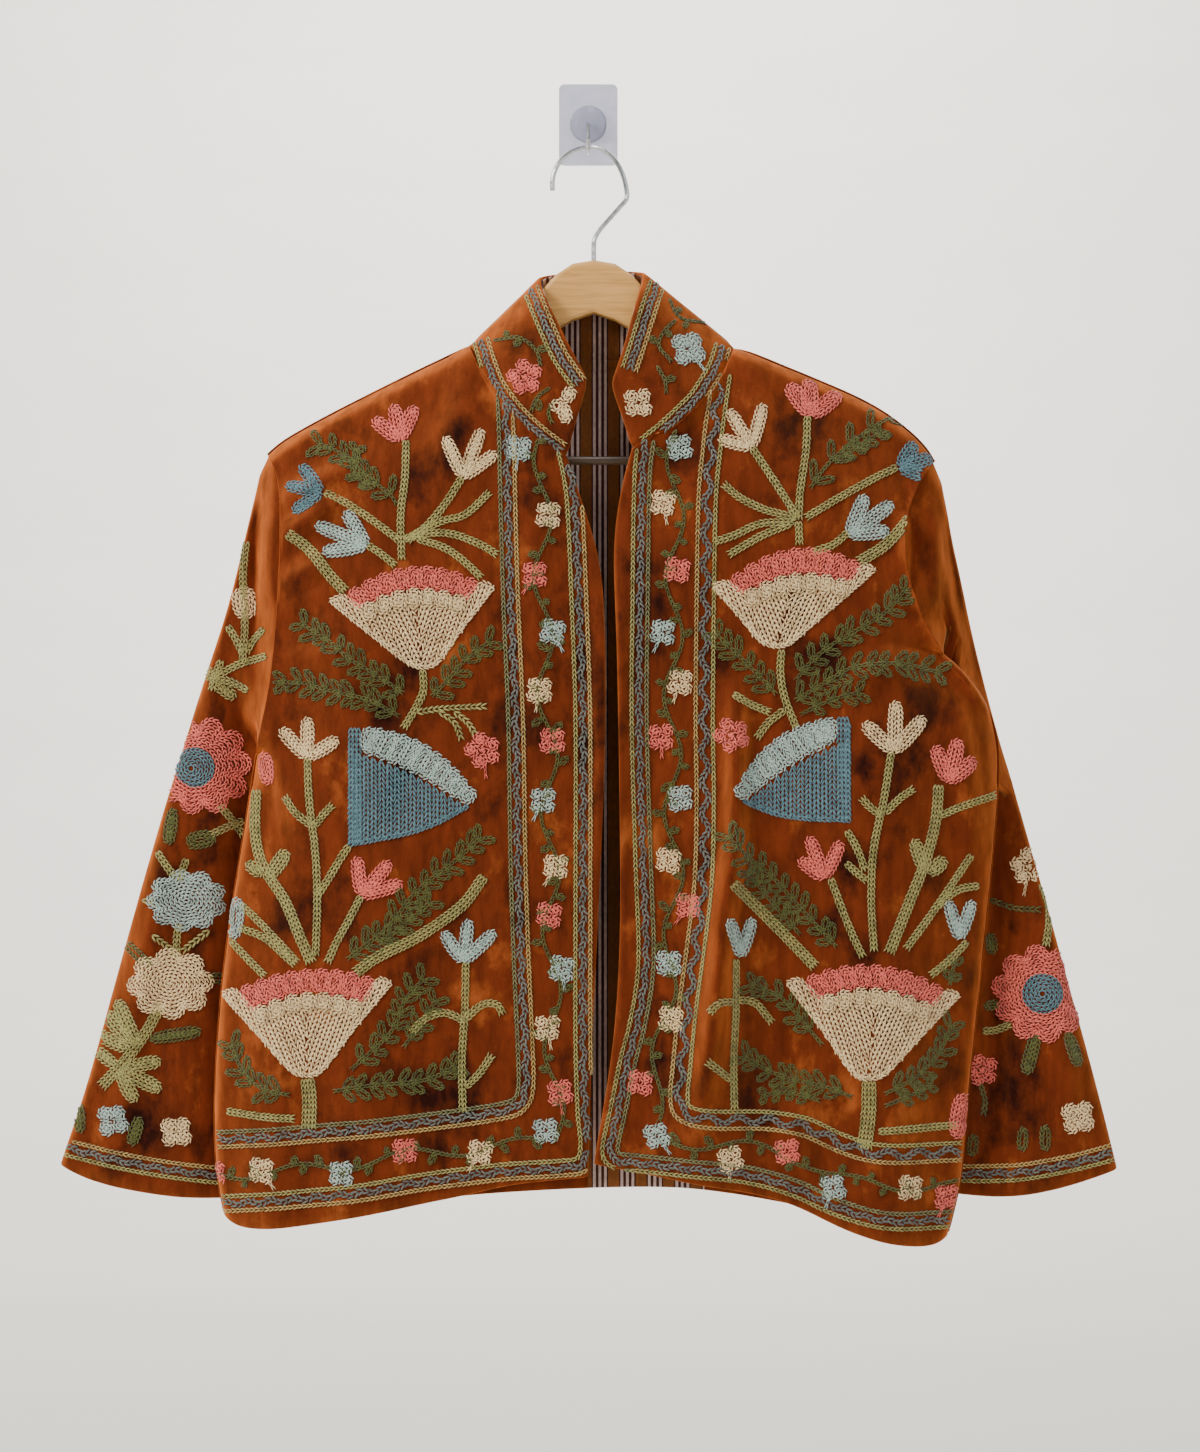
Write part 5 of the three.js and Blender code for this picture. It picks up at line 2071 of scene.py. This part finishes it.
COLLAR_NUDGES = (
    Nudge((490, 400), (-7.0, 5.0), 20.0, 0.0020),
    Nudge((530, 436), (-4.0, 9.0), 20.0, 0.0015),
    Nudge((562, 456), (0.0, 7.0), 14.0, 0.0010),
    Nudge((712, 400), (5.0, 6.0), 20.0, 0.0020),
    Nudge((680, 430), (4.0, 11.0), 20.0, 0.0015),
    Nudge((644, 450), (0.0, 12.0), 16.0, 0.0010),
)

FRONT_CUT = (0.285, 0.635)
SLEEVE_CUT = (0.275, 0.545)

PANELS = [
    Panel("back", (0.545, 0.635), 0.298, faces_back=True),
    Panel(
        "front_right",
        FRONT_CUT,
        0.142,
        RIGHT_FRONT_CREASES,
        RIGHT_FRONT,
        sewn_to=("back",),
        seam_reach=WIDE_SEAM,
    ),
    Panel(
        "front_left",
        FRONT_CUT,
        0.142,
        LEFT_FRONT_CREASES,
        LEFT_FRONT,
        sewn_to=("back",),
        seam_reach=WIDE_SEAM,
    ),
    Panel(
        "sleeve_right",
        SLEEVE_CUT,
        0.077,
        RIGHT_SLEEVE_CREASES,
        RIGHT_SLEEVE,
        (Nudge((250, 760), (9, 0), 36.0), Nudge((80, 1168), (-5.0, 8.0), 60.0)),
        sewn_to=("front_right", "back"),
        seam_reach=WIDE_SEAM,
        is_tube=True,
    ),
    Panel(
        "sleeve_left",
        SLEEVE_CUT,
        0.085,
        LEFT_SLEEVE_CREASES,
        LEFT_SLEEVE,
        sewn_to=("front_left", "back"),
        seam_reach=WIDE_SEAM,
        is_tube=True,
    ),
    Panel(
        "collar",
        (0.40, 0.06),
        0.020,
        motifs=COLLAR,
        nudges=COLLAR_NUDGES,
        sewn_to=("front_right", "front_left", "back"),
        is_tube=True,
    ),
    Panel("lining_back", (0.19, 0.565), 0.084, all_lining=True, faces_hem=True, ripple=0.0),
    Panel(
        "collar_lining",
        (0.36, 0.055),
        0.018,
        sewn_to=("lining_back",),
        seam_reach=0.009,
        all_lining=True,
        ripple=0.0,
    ),
]


class Jacket:
    """The whole jacket: its panels and its embroidery."""

    def build(self, finishes: Materials, yarns: dict[Yarn, bpy.types.Material]) -> None:
        """Builds the cloth pieces and the stitches on them.

        Args:
            finishes: The materials of cloth.
            yarns: The materials of wool.
        """
        link = Link()
        sewn: dict[str, bpy.types.Object] = {}
        for panel in PANELS:
            cloth = sewn[panel.node] = panel.build(finishes, sewn)
            LOG.info("%s: %d faces", cloth.name, len(cloth.data.polygons))
            if panel.motifs:
                work = Embroidery(cloth, "stitches_" + panel.node)
                work.stitch_all(panel.motifs)
                work.build(link, yarns)


def main() -> None:
    """Builds the finishes, the jacket and the studio, and dresses the hanger."""
    logging.basicConfig(level=logging.INFO, format="%(name)s: %(message)s")
    finishes = {
        "velvet": VelvetFinish().build(),
        "lining": StripeFinish().build(),
        "hanger wood": WoodFinish("hanger wood", (0.86, 0.46, 0.130), (0.64, 0.31, 0.078)).build(),
        "bar wood": WoodFinish("bar wood", (0.20, 0.115, 0.060), (0.085, 0.045, 0.022)).build(),
        "wire": ChromeFinish().build(),
        "plastic": ClearPlasticFinish().build(),
    }
    yarns = {yarn: yarn.value.build() for yarn in Yarn}
    Jacket().build(finishes, yarns)
    Hanger().dress(finishes)
    Studio().build()


if __name__ == "__main__":
    main()
